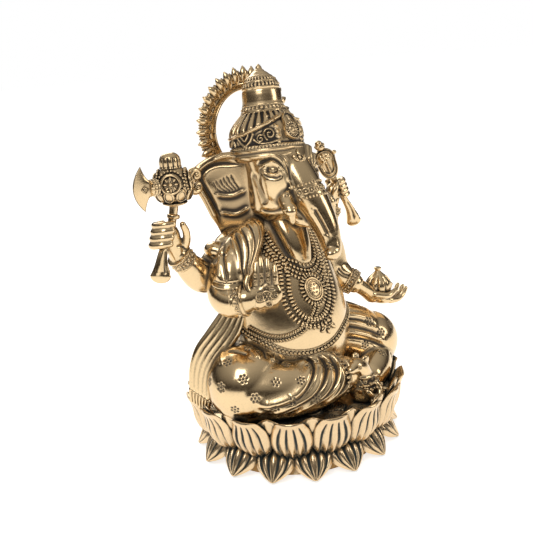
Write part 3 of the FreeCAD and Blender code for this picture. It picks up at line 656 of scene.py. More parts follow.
under_eye = [(-17.0, -7.8, 121.9), (-15.6, -10.4, 120.3), (-13.2, -13, 119.6), (-11.3, -14.6, 120.6)]
cheek = [(-19, -1, 122.5), (-18.6, -3.5, 117), (-17.4, -6, 111), (-16.5, -8, 106)]
jaw = [(-17, -4, 104), (-14, -9, 103), (-11, -13.5, 104.5), (-9.5, -17, 107)]
lines = []
for path, width, height in ((brow, 0.8, 0.95), (upper_brow, 0.9, 0.7), (upper_lid, 0.55, 0.85),
                            (inner_lid, 0.42, 0.5), (lower_lid, 0.5, 0.7), (cheek, 2.0, -0.5),
                            (jaw, 1.0, -0.7), (lid_groove, 0.75, -0.75), (under_eye, 0.7, -0.6)):
    lines += [(path, width, height), (mirrored(path), width, height)]
socket_of_eye = [(-16.4, -9.2, 123.6), (-14.4, -11.6, 123.4), (-12.3, -13.6, 122.9)]
lines += [(socket_of_eye, 1.9, -1.3), (mirrored(socket_of_eye), 1.9, -1.3)]
lines.append(([(-3.6, -27, 104), (-2.2, -30.5, 97), (-0.6, -33.5, 90)], 1.5, -0.9))
for shift in (-2.1, 2.1):
    lines.append(([(-3.6 + shift, -27, 104), (-2.2 + shift, -30.5, 97), (-0.6 + shift, -33.5, 90)], 0.6,
                  0.45))
head = relief(head, *lines)
buffed("head_casting", head, "head", "trunk", depth=0.16)


def ball(radius, sides=10, rings=7):
    """A small low round bead at the origin."""
    return egg((0, 0, 0), (radius, radius, radius), around=sides, along=rings)


def set_on(body, place, out, up=(0, 0, 1)):
    """A body modelled at the origin, its z outward and its y upward, moved to a place on a surface."""
    w = np.array(out, float) / np.linalg.norm(out)
    v = np.array(up, float) - w * (w @ np.array(up, float))
    v /= np.linalg.norm(v)
    turn = np.stack([np.cross(v, w), v, w])
    return body[0] @ turn + place, body[1]


def onto(tree, place, out):
    """The nearest point of a surface to a place, and its normal on the side that out points to."""
    point, normal, _, _ = tree.find_nearest(Vector(place))
    normal = normal if normal.dot(Vector(out)) > 0 else -normal
    return np.array(point), np.array(normal)


def torus(radius, wire, around=28, tube=8):
    """A ring of wire lying flat at the origin."""
    t, p = np.meshgrid(np.linspace(0, 2 * np.pi, around, endpoint=False), np.linspace(0, 2 * np.pi, tube,
            endpoint=False), indexing="ij")
    r = radius + wire * np.cos(p)
    grid = np.stack([r * np.cos(t), r * np.sin(t), wire * np.sin(p)], -1)
    return skin(np.concatenate([grid, grid[:1]]), ends=(False, False))


def rosette(radius, petals=8, height=0.9):
    """A flower of round petals in a ring of wire, with a boss in the middle, flat at the origin."""
    parts = [torus(radius, 0.11 * radius + 0.12), egg((0, 0, 0), (0.26 * radius, 0.26 * radius, height),
                                                      around=12, along=8)]
    for k in range(petals):
        t = 2 * np.pi * k / petals
        parts.append(egg((0.58 * radius * math.cos(t), 0.58 * radius * math.sin(t), 0),
                         (0.26 * radius, 0.15 * radius, 0.7 * height), (0, 0, math.degrees(t)), around=10,
                         along=7))
    return gather(parts)


head_tree = tree_of(head)
trim = []
for side in (1, -1):
    eye = (-14.2, -12.0, 123.4) if side > 0 else (13.2, -12.0, 123.4)
    point, normal = onto(head_tree, eye, (-0.7 * side, -0.7, 0.1))
    trim.append(set_on(egg((0, 0, 0), (2.3, 1.5, 1.1), around=32, along=20), point - 0.35 * normal, normal))
    trim.append(set_on(torus(1.0, 0.18, 24, 6), point + 0.62 * normal, normal))
    trim.append(set_on(ball(0.42), point + 0.7 * normal, normal))
point, normal = onto(head_tree, (-0.8, -17, 128), (0, -1, 0.3))
trim += [set_on(body, point, normal, (0.1, 0, 1)) for body in (egg((0, 2.4, 0.2), (1.1, 2.2, 1.0),
        around=16, along=10), egg((-2.5, -0.4, 0.2), (1.0, 2.2, 0.9), (0, 0, 35), 16, 10),
                                                               egg((2.5, -0.4, 0.2), (1.0, 2.2, 0.9),
        (0, 0, -35), 16, 10), ball(1.2), torus(2.1, 0.4))]
for k in range(3):
    level_of = 114.0 - 3.1 * k
    for a in np.radians(np.arange(-90, 91, 20 if k == 1 else 12)):
        aim = np.array([math.sin(a), -math.cos(a), 0.0])
        hit = head_tree.ray_cast(Vector(aim * 40 + [2, -17 - 1.2 * k, level_of + 2.2 * math.cos(a)]),
                                 Vector(-aim))
        if hit[0]:
            bead = torus(1.5, 0.42, 16, 6) if k == 1 else ball(0.8, 8, 6)
            trim.append(set_on(bead, np.array(hit[0]), np.array(hit[1])))
            if k == 1:
                trim.append(set_on(ball(0.75, 8, 6), np.array(hit[0]), np.array(hit[1])))
washed("face_trim", trim, smooth_steps=3)

# ---- Ears --------------------------------------------------------------------------------------
# Each ear is a dished leaf with a thick rolled rim, brazed to the side of the head. Fine lines are
# engraved in the dish and keep the dark wash.
ear_rows = [(91, 24.5, 12.5, 5.0), (97, 22.8, 10.2, 9.8), (106, 24.0, 10.7, 11.9), (115, 26.0, 11.9, 13.4),
            (121, 27.2, 13, 14.4), (126, 26.5, 12.7, 13.4), (130, 23.6, 11.2, 9.8), (132, 22.0, 11.2, 4.0)]
# The ears use a darker copy of the polished brass, with a lower bright colour and a stronger patina factor:
# painted shade over the dished ears
shaded = brass("shaded_brass", (0.58, 0.42, 0.235), (0.045, 0.031, 0.018), 0.15, patina=1.5)
for side, name in ((-1, "right_ear"), (1, "left_ear")):
    z, x, y, reach_out = (column[:, None] for column in flow(ear_rows, 110).T)
    t = np.linspace(0, 2 * np.pi, 150, endpoint=False)[None]
    u, w = np.cos(t), np.sin(t)
    thick = 1.0 + 1.2 * np.exp(-((1 - np.abs(u)) / 0.22) ** 2)
    push = w * thick * np.sqrt(1 - 0.7 * u ** 2) + 3.0 * (u ** 2 - 0.5) * reach_out / 12
    outward, facing = np.array([0.79 * side, 0.61, 0]), np.array([0.61 * side, -0.79, 0])
    ear = skin(np.concatenate([side * x, y, z], -1)[:, None] + outward * (reach_out * u)[...,
            None] + facing * push[..., None], ends=(True, True))

    def on_ear(across, height, ahead=5.0):
        """A place just ahead of the ear's dish: across runs -1 at the head to 1 at the outer rim."""
        level_of = np.interp(height, [r[0] for r in ear_rows], np.arange(len(ear_rows)))
        row = np.array([np.interp(level_of, np.arange(len(ear_rows)), [r[k] for r in ear_rows])
                        for k in range(4)])
        return tuple(np.array([side * row[1], row[2], height]) + outward * row[3] * across + facing * ahead)

    rim = [on_ear(a, h, 2) for a, h in ((-0.9, 129), (0.0, 130.6), (0.6, 128.5), (0.9, 124), (0.92, 118),
                                        (0.9, 111), (0.9, 103), (0.9, 95))]
    under = [on_ear(a, h, 2) for a, h in ((-0.7, 126), (0.0, 127.0), (0.45, 125.5), (0.66, 121.5),
                                          (0.66, 116), (0.64, 109), (0.6, 101))]
    lines = [(rim, 1.5, 1.5), (under, 1.0, -1.1)]
    for k in range(6):
        lines.append(([on_ear(-0.30 + 0.13 * k, 121.5 - 0.5 * k, 2), on_ear(-0.36 + 0.13 * k,
                117.5 - 0.6 * k, 2), on_ear(-0.46 + 0.11 * k, 113.5 - 0.3 * k, 2)], 0.34,
                      -0.36 * (1 - 0.1 * k)))
    lines.append(([on_ear(-0.7, 113, 2), on_ear(-0.1, 110.5, 2), on_ear(0.5, 112, 2)], 0.8, 0.8))
    lines.append(([on_ear(-0.7, 104, 2), on_ear(-0.1, 101, 2), on_ear(0.6, 103, 2)], 0.9, 0.8))
    make(name + "_casting", relief(ear, *lines), shaded, "polished_brass", [name], depth=0.16)

# ---- Tusks -------------------------------------------------------------------------------------
# The tusks are short turned pegs of bright brass set in collars. The right one is broken short.
for side, length, name in ((-1, 4.0, "right_tusk"), (1, 8.0, "left_tusk")):
    tusk = sweep([(side * 12.4, -19.5, 105, 2.5), (side * 13.2, -21.8, 103, 2.4),
                  (side * 13.6, -22.8, 103 - length, 1.5)], count=30, around=28)
    collar = sweep([(side * 11.6, -18.0, 106, 3.5), (side * 12.8, -20.4, 104.4, 3.6),
                    (side * 13.2, -21.4, 103.4, 3.2)], count=20, around=28)
    buffed(name + "_peg", gather([tusk, collar]), name)

# ---- Crown -------------------------------------------------------------------------------------
# The crown is cast in one with its fluted bulb, bead rings and scrollwork, and its domed cap is
# screwed on top. A drop-shaped medallion is brazed to the front.


def inked(s, h, path, width):
    """A bell curve of the distance, in a flat plan, of each place (s, h) from a smooth path."""
    line = flow(path, 8 * len(path))
    best = np.full(s.shape, 99.0)
    for a, b in zip(line[:-1], line[1:]):
        d = b - a
        t = np.clip(((s - a[0]) * d[0] + (h - a[1]) * d[1]) / max(d @ d, 1e-9), 0, 1)
        best = np.minimum(best, np.hypot(s - a[0] - t * d[0], h - a[1] - t * d[1]))
    return np.exp(-(best / width) ** 2)


def spiral(cx, cy, radius, start, turns, hand=1):
    """A plan spiral winding in from the radius: the angle grows evenly as the radius shrinks."""
    return [(cx + radius * (1 - 0.82 * k / 9) * math.cos(math.radians(start + hand * turns * 40 * k)),
             cy + radius * (1 - 0.82 * k / 9) * math.sin(math.radians(start + hand * turns * 40 * k)))
            for k in range(10)]


crown_foot, crown_tip = np.array([-3, 4, 126.5]), np.array([0, 10, 173.2])
crown_axis = (crown_tip - crown_foot) / np.linalg.norm(crown_tip - crown_foot)
crown_front = np.array([0.08, -1.0, 0])
crown_front -= crown_axis * (crown_front @ crown_axis)
crown_front /= np.linalg.norm(crown_front)
crown_side = np.cross(crown_axis, crown_front)


def round_crown(profile, rows, columns, pattern):
    """A turned body on the crown's axis, its radius raised by pattern(arc length from the front, height,
    angle from the front)."""
    h, r = flow(profile, rows).T
    t = np.linspace(-np.pi, np.pi, columns, endpoint=False)[None]
    lifted = r[:, None] + pattern(t * r[:, None], h[:, None] + 0 * t, t + 0 * h[:, None])
    grid = (crown_foot + crown_axis * h[:, None, None] + lifted[..., None]
            * (crown_front * np.cos(t)[..., None] + crown_side * np.sin(t)[..., None]))
    return skin(grid)


def hoop_at(h, place, width, height):
    """A plain raised ring."""
    return height * np.exp(-((h - place) / width) ** 2)


def crown_relief(s, h, t):
    """The crown's relief. Twenty-six pointed flutes rise above a slanting band that climbs to the
    front; scrolls and a heart-shaped boss fill the side below it; rings and beads close it."""
    a = np.abs(np.degrees(t))
    slant = np.interp(a, [0, 24, 52, 80, 120, 180], [21.0, 19.0, 15.6, 12.6, 11.5, 11.5])
    shape = hoop_at(h, 1.2, 1.1, 0.9) + hoop_at(h, 4.2, 0.7, 0.7) + hoop_at(h, 23.6, 0.5,
            0.35) + hoop_at(h, 26.6, 0.5, 0.4)
    shape = shape + hoop_at(h, 25.1, 0.7, 0.8) * (0.5 + 0.5 * np.cos(30 * t)) + hoop_at(h, 5.9, 0.5,
            0.5) * (0.5 + 0.5 * np.cos(64 * t))
    rise = np.clip((h - slant - 0.6) / 1.2, 0, 1) * np.clip((23.0 - h) / 0.8, 0, 1)
    narrow = np.clip((h - slant - 0.8) / (22.8 - slant), 0, 1)
    wave = np.abs(np.cos(13 * t))
    shape = shape + rise * (1.5 * np.clip((wave - 0.35 - 0.4 * narrow ** 2) * 2.2, 0, 1) ** 0.6 - 1.0)
    shape = shape + 1.1 * np.exp(-((h - slant) / 0.75) ** 2)
    field = np.clip((slant - 0.8 - h) / 0.8, 0, 1) * np.clip((h - 6.4) / 0.6, 0, 1)
    q = np.abs(s)
    ink = np.maximum.reduce([inked(q, h, spiral(12.6, 11.6, 3.2, -60, 1.5), 0.42),
                             inked(q, h, spiral(17.4, 9.6, 2.0, 120, 1.2, -1), 0.38),
                             inked(q, h, [(9.5, 8), (13.5, 7.2), (18, 7.6), (21, 9.6)], 0.42),
                             inked(q, h, [(21, 12.4), (23, 9), (26, 7), (29, 9), (31, 12.4)], 0.5),
                             inked(q, h, [(23.5, 12), (26, 9.4), (28.5, 12)], 0.45),
                             inked(q, h, [(33.5, 7.4), (35, 10.6), (38, 7.6), (41, 10.4), (44, 7.6),
                                          (48, 10.4), (54, 8)], 0.42)])
    shape = shape + field * (1.25 * ink - 0.75)
    column = sum(np.exp(-(((q - 8.6 - 0.1 * (k - 3)) ** 2 + (h - 7.6 - 2.55 * k) ** 2) / 0.95 ** 2))
                 for k in range(7))
    return shape + 1.15 * column * (h < 23.5)


crown_profile = [(-1.5, 15), (-0.4, 17.6), (1.2, 18.0), (4, 18.4), (8, 18.6), (12, 18.5), (15, 17.8),
                 (18, 15.9), (21, 13.2), (23.5, 11.2), (26, 10.3), (29, 10.1), (32, 9.9), (34.2, 9.3),
                 (34.6, 7.0)]
cap_profile = [(33.6, 7.0), (33.8, 9.2), (35.4, 9.1), (37.4, 8.7), (39.4, 7.4), (41.2, 5.6), (42.8, 3.8),
               (43.8, 2.3), (44.8, 1.7), (46, 1.2), (47.0, 0.25)]


def cap_relief(s, h, t):
    """Two toothed rings with plain wires between them."""
    teeth = 0.5 + 0.5 * np.clip(2.5 * np.cos(30 * t), -1, 1)
    return (hoop_at(h, 34.9, 0.45, 0.5) + hoop_at(h, 36.5, 0.75, 0.75) * teeth + hoop_at(h, 38.0, 0.4,
            0.4) + hoop_at(h, 39.4, 0.65, 0.65) * teeth + hoop_at(h, 40.8, 0.4, 0.35) + hoop_at(h, 43.9,
            0.35, 0.3))


crown = round_crown(crown_profile, 160, 370, crown_relief)
washed("crown_casting", [crown], "crown", smooth_steps=10, depth=0.30)
washed("crown_cap", [round_crown(cap_profile, 90, 240, cap_relief)], "crown_finial", depth=0.22)

tilt, spin = np.meshgrid(np.linspace(0.01, 1, 60), np.linspace(0, 2 * np.pi, 96, endpoint=False),
                         indexing="ij")
edge = 4.9 * (1 + 0.95 * np.clip(np.sin(spin), 0, 1) ** 5)
px, pz = tilt * edge * np.cos(spin), tilt * edge * np.sin(spin)
from_boss = np.hypot(px, pz)
swell = (0.9 * np.exp(-(from_boss / 0.9) ** 2) + 0.6 * np.exp(-((from_boss - 2.0) / 0.35) ** 2)
         + 0.75 * np.exp(-((from_boss - 3.4) / 0.5) ** 2) * (0.5 + 0.5 * np.cos(17 * spin))
         + 0.9 * np.exp(-((tilt - 0.93) / 0.055) ** 2) + 0.8 * np.exp(-(px / 0.5) ** 2)
         * np.clip((pz - 4) / 1, 0, 1) * (tilt < 0.8) - 2.2 * np.clip((tilt - 0.97) / 0.03, 0,
        1) - 0.028 * from_boss ** 2)
drop = skin(np.stack([px, pz, swell], -1))
place = crown_foot + crown_axis * 12.8 + crown_front * 19.0
washed("crown_medallion_drop", [set_on(drop, place, crown_front * 0.97 + crown_axis * 0.22, crown_axis)],
       "crown_medallion", smooth_steps=10, depth=0.25)

# ---- Halo arch ---------------------------------------------------------------------------------
# A flat bar is bent into an arch behind the crown, and a row of three-lobed flame leaves is cast
# round its outside.
arch_middle, arch_inner, arch_band = np.array([0, 24, 141.0]), 20.0, 3.6
t = np.radians(np.linspace(-34, 214, 200))
arm = arch_inner + arch_band / 2
line = [(arm * math.cos(a), arm * math.sin(a)) for a in t]
line = [(line[0][0] * 0.80, line[0][1] - 23), (line[0][0] * 0.95, line[0][1] - 10)] + line + [
    (line[-1][0] * 0.95, line[-1][1] - 10), (line[-1][0] * 0.80, line[-1][1] - 23)]
rows = [(x, arch_middle[1] + 0.06 * abs(x), arch_middle[2] + z, arch_band / 2 + 0.1) for x, z in line]
bar = sweep(rows, 1.1, across=(0, 1, 0), count=320, around=28, power=4.0)
wire = sweep([(x * 0.945, y - 1.9, arch_middle[2] + (z - arch_middle[2]) * 0.945, 0.55) for x, y, z,
              _ in rows[2:-2]], count=240, around=10)
buffed("halo_bar", gather([bar, wire]), "halo_arch")
leaves = []
for k in range(23):
    a = math.radians(-30 + k * 240 / 22)
    out, side = np.array([math.cos(a), 0, math.sin(a)]), np.array([-math.sin(a), 0, math.cos(a)])
    root = arch_middle + [0, 0.06 * abs(arm * math.cos(a)), 0] + out * (arch_inner + arch_band - 0.6)
    for turn_of, length, wide, ahead in ((0, 8.4, 2.1, 0.9), (-30, 6.9, 1.9, -0.3), (30, 6.9, 1.9, -0.3)):
        b = math.radians(turn_of)
        way, across = out * math.cos(b) + side * math.sin(b), np.array([0.0, 1.0, 0.0])
        bow = side * math.sin(b) * 0.8
        leaves.append(sweep([tuple(root + way * length * s + bow * math.sin(3 * s)
                                   - across * (ahead + 0.9 * math.sin(2.6 * s))) + (wide * r,) for s,
                             r in ((0, 0.6), (0.3, 1.0), (0.6, 1.05), (0.85, 0.7), (1.0, 0.25))], 0.85,
                            across=tuple(side), count=14, around=12, power=1.7))
washed("halo_leaves", leaves, "halo_flames", smooth_steps=4, depth=0.5)

# ---- Arms and bangles --------------------------------------------------------------------------
# Four arms are cast separately and pinned at the shoulders, two raised behind and two lowered in
# front. Each wrist wears a beaded bangle between two wires.
arms = {"rear_right": [(-25, 9, 85, 10), (-37, 9, 79, 8.6), (-46.5, 8, 73.8, 7.8), (-53, 8, 79, 7.4),
                       (-60.5, 8, 88.5, 4.8)], "rear_left": [(24, 10, 85, 10), (34, 13, 78, 8),
                                                             (41.5, 14, 74, 7), (45, 14, 82, 6.2),
                                                             (48.5, 14, 91, 4.5)], "front_right": [(-28, 3,
        85, 11), (-38, -2, 77, 10.8), (-45.5, -7, 68.5, 9.4), (-47, -14, 65.8, 8.2),
        (-43.5, -19.5, 66.8, 6.6)], "front_left": [(25, 4, 84, 10.5), (33, 3, 72, 9.4), (34.5, 0, 61, 8.2),
                                                   (37, -4, 55.5, 7.4), (41, -8.5, 51.5, 5.6)],}
elbow_folds = {"rear_right": [([(-50, 3, 84), (-46, 1, 79.5), (-43, 1, 76)], 0.9, -1.0),
                              ([(-47, 14, 82), (-44, 5, 80.5), (-41, 0, 77)], 0.7, -0.6)],
               "rear_left": [([(38, 6, 79), (41.5, 7, 80), (45, 8, 84)], 0.8, -0.8)],
               "front_right": [([(-41, -8, 77), (-44, -13, 73.5), (-43.5, -18, 73)], 1.0, -1.0),
                               ([(-50, -8, 73), (-51, -14, 70), (-48, -20, 69)], 1.3, -0.5),
                               ([(-48, -3, 78), (-44, -10, 76), (-39, -13, 74)], 1.2, 0.7)],
               "front_left": [([(30, -8, 63), (33, -9, 59), (37, -11, 57)], 0.9, -0.8)],}
bangle_radii = {"rear_right": 5.9, "rear_left": 5.4, "front_right": 7.6, "front_left": 6.7}
bangle_rows = {"rear_right": 6.4, "rear_left": 5.0, "front_right": 6.2, "front_left": 5.4}
for name, route in arms.items():
    arm = relief(cast([sweep(route, count=50, around=36)], 0.6, 3), *elbow_folds[name])
    buffed(name + "_arm_casting", arm, name + "_arm")
    wrist, before = np.array(route[-1][:3], float), np.array(route[-2][:3], float)
    along = (wrist - before) / np.linalg.norm(wrist - before)
    wide, radius = bangle_rows[name], bangle_radii[name]
    v, t = np.meshgrid(np.linspace(0, 1, 46), np.linspace(0, 2 * np.pi, 180, endpoint=False), indexing="ij")
    s = t * radius
    edge = np.exp(-((v - 0.1) / 0.09) ** 2) + np.exp(-((v - 0.9) / 0.09) ** 2)
    studs = sum(np.exp(-(((((t * 11 / (2 * np.pi) + o) % 1) - 0.5) * 2 * np.pi * radius / 11) ** 2
                         + ((v - c) * wide) ** 2) / w ** 2) for o, c,
                w in ((0, 0.5, 0.8), (0.5, 0.34, 0.42), (0.5, 0.66, 0.42)))
    swirl = 0.5 + 0.5 * np.sin(22 * t + 9 * np.cos(np.pi * (v - 0.5) * 2))
    height_of = 0.62 * edge + 0.75 * studs + 0.25 * swirl * (1 - edge).clip(0,
            1) - 1.3 * (np.abs(v - 0.5) > 0.48)
    u = np.cross(along, (0, 0, 1.0))
    u /= np.linalg.norm(u)
    w = np.cross(along, u)
    grid = (wrist + along * (1.0 - 1.1 * wide) + along * (v * wide)[..., None]
            + (u * np.cos(t)[..., None] + w * np.sin(t)[..., None]) * (radius + height_of)[..., None])
    washed(name + "_bangle_ring", [skin(grid)], name + "_bangle", depth=0.25)

# ---- Hands -------------------------------------------------------------------------------------
# Two hands grip what they hold, one is raised with rings on its fingers and a flower on its palm,
# and one lies open. They are cast on their own and brazed to the wrists.


def finger(places, radius, tip=0.72):
    """A finger along the given places: its radius swells a little at the joints and tapers to the tip."""
    n = len(places)
    return sweep([(*p, radius * (1 - (1 - tip) * k / (n - 1))) for k, p in enumerate(places)], count=24,
                 around=18)


grip_right = [sweep([(-60.3, 8, 87, 4.5), (-62, 7.5, 92, 4.6), (-63.5, 7.5, 96, 4.8)], 0.85),
              egg((-64.2, 7.8, 98.5), (5.2, 4.4, 6.8), (0, -14, 0)),
              egg((-68.6, 7, 100.4), (3.2, 4.4, 6.6), (0, -17, 0))]
for k in range(4):
    lean, level_of = 0.95 * k, 105.0 - 3.0 * k
    grip_right.append(finger([(-64.5 - lean, 12.5, level_of - 1.0), (-69.6 - lean, 11, level_of - 0.6),
                              (-71.2 - lean, 6.5, level_of), (-69.2 - lean, 2.6, level_of + 0.6),
                              (-65.4 - lean, 1.6, level_of + 0.4)], 1.92, 0.82))
grip_right.append(finger([(-59.5, 6.5, 90), (-57.6, 4.5, 94.5), (-57.4, 3.8, 99.5), (-59.0, 3.6, 103.6)],
                         2.3, 0.7))
grip_left = [sweep([(48.3, 14, 90, 4.3), (49.3, 14, 94, 4.5), (50, 13.8, 97, 4.6)], 0.85),
             egg((50.6, 13.8, 99), (4.8, 4.0, 6.2), (0, 14, 0)), egg((54.4, 12.6, 101.6), (2.8, 3.8, 5.8),
        (0, 19, 0))]
for k in range(4):
    lean, level_of = 1.0 * k, 106.0 - 2.7 * k
    grip_left.append(finger([(50.5 + lean, 17.5, level_of - 1), (55.0 + lean, 16, level_of - 0.6),
                             (56.4 + lean, 12, level_of), (54.2 + lean, 8.6, level_of - 0.4),
                             (51.0 + lean, 8.2, level_of - 1.0)], 1.72, 0.82))
grip_left.append(finger([(46.0, 11, 93), (45.2, 8.8, 97.5), (46.4, 7.6, 102), (49.0, 8.4, 104.6)], 2.0, 0.75))

palm_place = np.array([-36.6, -26.4, 68.6])
palm_out = np.array([-0.60, -0.76, 0.24])
palm_up = np.array([0.02, 0.05, 1.0])
palm_up -= palm_out * (palm_up @ palm_out) / (palm_out @ palm_out)
palm_up /= np.linalg.norm(palm_up)
palm_across = np.cross(palm_up, palm_out)
palm_across *= np.sign(palm_across[0]) / np.linalg.norm(palm_across)


def on_palm(across, up, out=0.0):
    """A place on the raised palm: across toward the figure's middle, up toward the fingertips."""
    return tuple(palm_place + palm_across * across + palm_up * up + palm_out * out)


raised = [sweep([(-45.5, -17.5, 66.2, 5.6), (-42.5, -21.5, 67.2, 5.6), on_palm(-4, -1.5, -1) + (5.6,)],
                0.8), sweep([on_palm(-4.5, 0.5) + (5.0,), on_palm(0.5, 0.2) + (6.6,),
                             on_palm(4.4, 1.0) + (5.2,)], 0.42, across=tuple(palm_up)),
          egg(on_palm(-2.6, -3.2, 1.2), (3.4, 2.6, 3.2)), egg(on_palm(3.4, -2.6, 0.8), (2.8, 2.2, 3.0))]
tips = [(-4.6, -3.4, 15.4), (-1.6, -1.0, 17.4), (1.6, 2.0, 16.6), (4.6, 5.4, 13.4)]
for base, tip, high in tips:
    raised.append(finger([on_palm(base, 3.6, 0), on_palm(base + 0.3 * (tip - base), 7.5, 0.6),
                          on_palm(base + 0.65 * (tip - base), 0.7 * high + 1, 0.6),
                          on_palm(tip, high, -0.2)], 1.85, 0.66))
raised.append(finger([on_palm(-5.6, -1.5, 1.5), on_palm(-8.2, 2.2, 2.0), on_palm(-8.8, 6.2, 1.8),
                      on_palm(-7.6, 9.6, 1.0)], 2.0, 0.68))

level_hand = [sweep([(40.8, -8.4, 51.6, 5.4), (47, -10.5, 46.4, 5.0), (52, -11, 42, 5.4)], 0.8,
                    across=(0, 1, 0)), sweep([(49, -10.8, 43.8, 5.4), (56, -11, 39.4, 7.4),
                                              (64, -10.8, 37.2, 7.2)], 0.42, across=(0, 1, 0))]
for k in range(4):
    y = -17.0 + 4.1 * k
    long = (0.0, 2.0, 2.6, 1.2)[k]
    level_hand.append(finger([(61, y, 37.6), (67 + 0.4 * long, y, 36.8), (72 + long, y + 0.4, 38.0),
                              (75.4 + long, y + 0.6, 41.2)], 1.95, 0.66))
level_hand.append(finger([(50.5, -16, 43.5), (56, -19.8, 42.4), (62, -19.6, 43.6)], 2.1, 0.7))
hands = {"rear_right": grip_right, "rear_left": grip_left, "front_right": raised, "front_left": level_hand}
hand_lines = {
    "rear_right": [([(-58, 4.5, 91), (-61, 3.5, 93.5), (-64, 3.2, 94)], 0.5, -0.5)],
    "rear_left": [([(46, 9.5, 92), (49, 9, 95), (52, 9.4, 96)], 0.5, -0.5)],
    "front_right": [([on_palm(-5, 1.5, 3), on_palm(0, 2.6, 3), on_palm(5, 2.2, 3)], 0.4, -0.35)],
    "front_left": [([(58, -17, 41), (60, -11, 41), (60.5, -5, 41)], 0.5, -0.4)],
}
for name, bodies in hands.items():
    hand = relief(cast(bodies, 0.36, 3), *hand_lines[name])
    buffed(name + "_hand_casting", hand, name + "_hand", depth=0.14)
    if name == "front_right":
        hand_tree = tree_of(hand)

palm_trim = []
for up, span in ((9.6, (-4.3, -1.2, 2.0, 5.2)), (6.6, (-4.6, -1.5, 1.6, 4.6))):
    for across in span:
        point, normal = onto(hand_tree, on_palm(across, up, 3), palm_out)
        palm_trim.append(set_on(torus(0.8, 0.26, 12, 5), point, normal, tuple(palm_up)))
        palm_trim.append(set_on(ball(0.42, 8, 6), point, normal))
for across, up, size in ((0.2, -0.6, 2.5), (-3.2, -1.2, 1.7), (3.7, -0.2, 1.8), (0.8, -4.4, 1.7),
                         (0.3, 3.0, 1.4)):
    point, normal = onto(hand_tree, on_palm(across, up, 3), palm_out)
    palm_trim.append(set_on(rosette(size, 6, 0.7), point + 0.1 * normal, normal, tuple(palm_up)))
washed("palm_flower_and_rings", palm_trim, smooth_steps=3)

# ---- Axe ---------------------------------------------------------------------------------------
# The rear right hand holds a short axe. A beaded pot-shaped knob carries the blade on one side and
# two curls on the other, and the foot of the shaft flares into a ribbon below the fist.


def turned(place, rows, pattern, around=96, count=70, axis=(0, 0, 1)):
    """A turned body: rows of (height, radius) on an axis, the radius raised by pattern(height, angle)."""
    h, r = flow(rows, count).T
    t = np.linspace(0, 2 * np.pi, around, endpoint=False)[None]
    wide = r[:, None] + pattern(h[:, None], t)
    grid = np.stack([wide * np.cos(t), wide * np.sin(t), h[:, None] + 0 * t], -1)
    return set_on(skin(grid), np.array(place, float), axis, (0.01, 1, 0))


def beaded(place, radius, count, size, out=(0, 0, 1)):
    """A ring of beads round a place, in the plane square to out."""
    w = np.array(out, float) / np.linalg.norm(out)
    u = np.cross(w, (0.3, 0.2, 1.0))
    u /= np.linalg.norm(u)
    v = np.cross(w, u)
    return [set_on(egg((0, 0, 0), (size, size, size), around=8, along=6),
                   np.array(place) + radius * (u * math.cos(t) + v * math.sin(t)), w)
            for t in np.linspace(0, 2 * np.pi, count, endpoint=False)]


knob_middle = np.array([-59, 8, 122.0])
shaft = sweep([(-59.4, 8, 114, 2.2), (-61, 8, 108, 2.1), (-63.5, 8, 101, 2.0), (-68, 7, 94, 2.0)],
              count=40, around=24)
collar = turned((-60.8, 8, 107.4), [(-1.2, 2.3), (-0.7, 3.0), (0, 3.1), (0.7, 3.0), (1.2, 2.3)], lambda h,
                t: 0 * h * t, 40, 20, (0.25, 0, 1))
ribbon = sweep([(-68.0, 6.4, 95.5, 1.9, 0.9), (-70.6, 6.0, 91, 2.2, 0.7), (-71.9, 5.8, 87, 2.9, 0.5),
                (-72.6, 5.8, 83.5, 4.0, 0.35), (-73.0, 5.8, 81.5, 4.9, 0.3)], across=(0.78, -0.63, 0),
               count=60, around=48, power=2.6)
ribbon = relief(ribbon, ([(-69.3, 4.4, 94), (-71.3, 3.8, 88), (-72.0, 3.6, 82)], 0.8, -0.7),
                ([(-67.6, 4, 94), (-69.5, 3.4, 88), (-69.2, 3.2, 81.5)], 0.5, 0.4),
                ([(-70.6, 5, 95), (-73, 5, 88), (-75.6, 5.2, 82)], 0.5, 0.4))
buffed("axe_shaft", gather([shaft, collar, ribbon]), "axe_handle", depth=0.2)
knob = [turned(knob_middle, [(-9.4, 4.2), (-8.8, 5.4), (-8.0, 5.6), (-7.4, 4.9), (-6.4, 6.4), (-3, 8.4),
                             (0, 8.9), (3, 8.4), (6, 6.6), (8.2, 4.6), (8.8, 2.5)], lambda h,
               t: 0.35 * np.exp(-((h + 8.3) / 0.5) ** 2) - 0.4 * np.exp(-((h + 7.2) / 0.4) ** 2) + 0 * t)]
petal_share, petal_turn = np.meshgrid(np.linspace(0.02, 0.999, 16), np.linspace(0, 2 * np.pi, 28,
        endpoint=False), indexing="ij")
for k in range(9):
    a = 2 * np.pi * k / 9 + 0.35
    out = np.array([math.cos(a), math.sin(a), -0.42])
    leaf = skin(np.stack([2.75 * petal_share * np.cos(petal_turn),
                          3.6 * petal_share * np.sin(petal_turn) * (1 + 0.12 * np.sin(petal_turn)),
                          (1.1 + 0.9 * (petal_share > 0.72) * (petal_share < 0.94)) * np.sqrt(1
            - petal_share ** 2)], -1))
    knob.append(set_on(leaf, knob_middle + out * [7.6, 7.6, 8.6] + [0, 0, -0.6], out))
for a in np.radians((-130, -40, 50, 140)):
    facing = np.array([math.cos(a), math.sin(a), 0.12])
    knob.append(set_on(rosette(4.3, 8, 1.5), knob_middle + facing * 8.5 + [0, 0, 0.6], facing))
    knob += beaded(knob_middle + facing * 6.9 + [0, 0, 0.6], 6.1, 24, 0.72, facing)
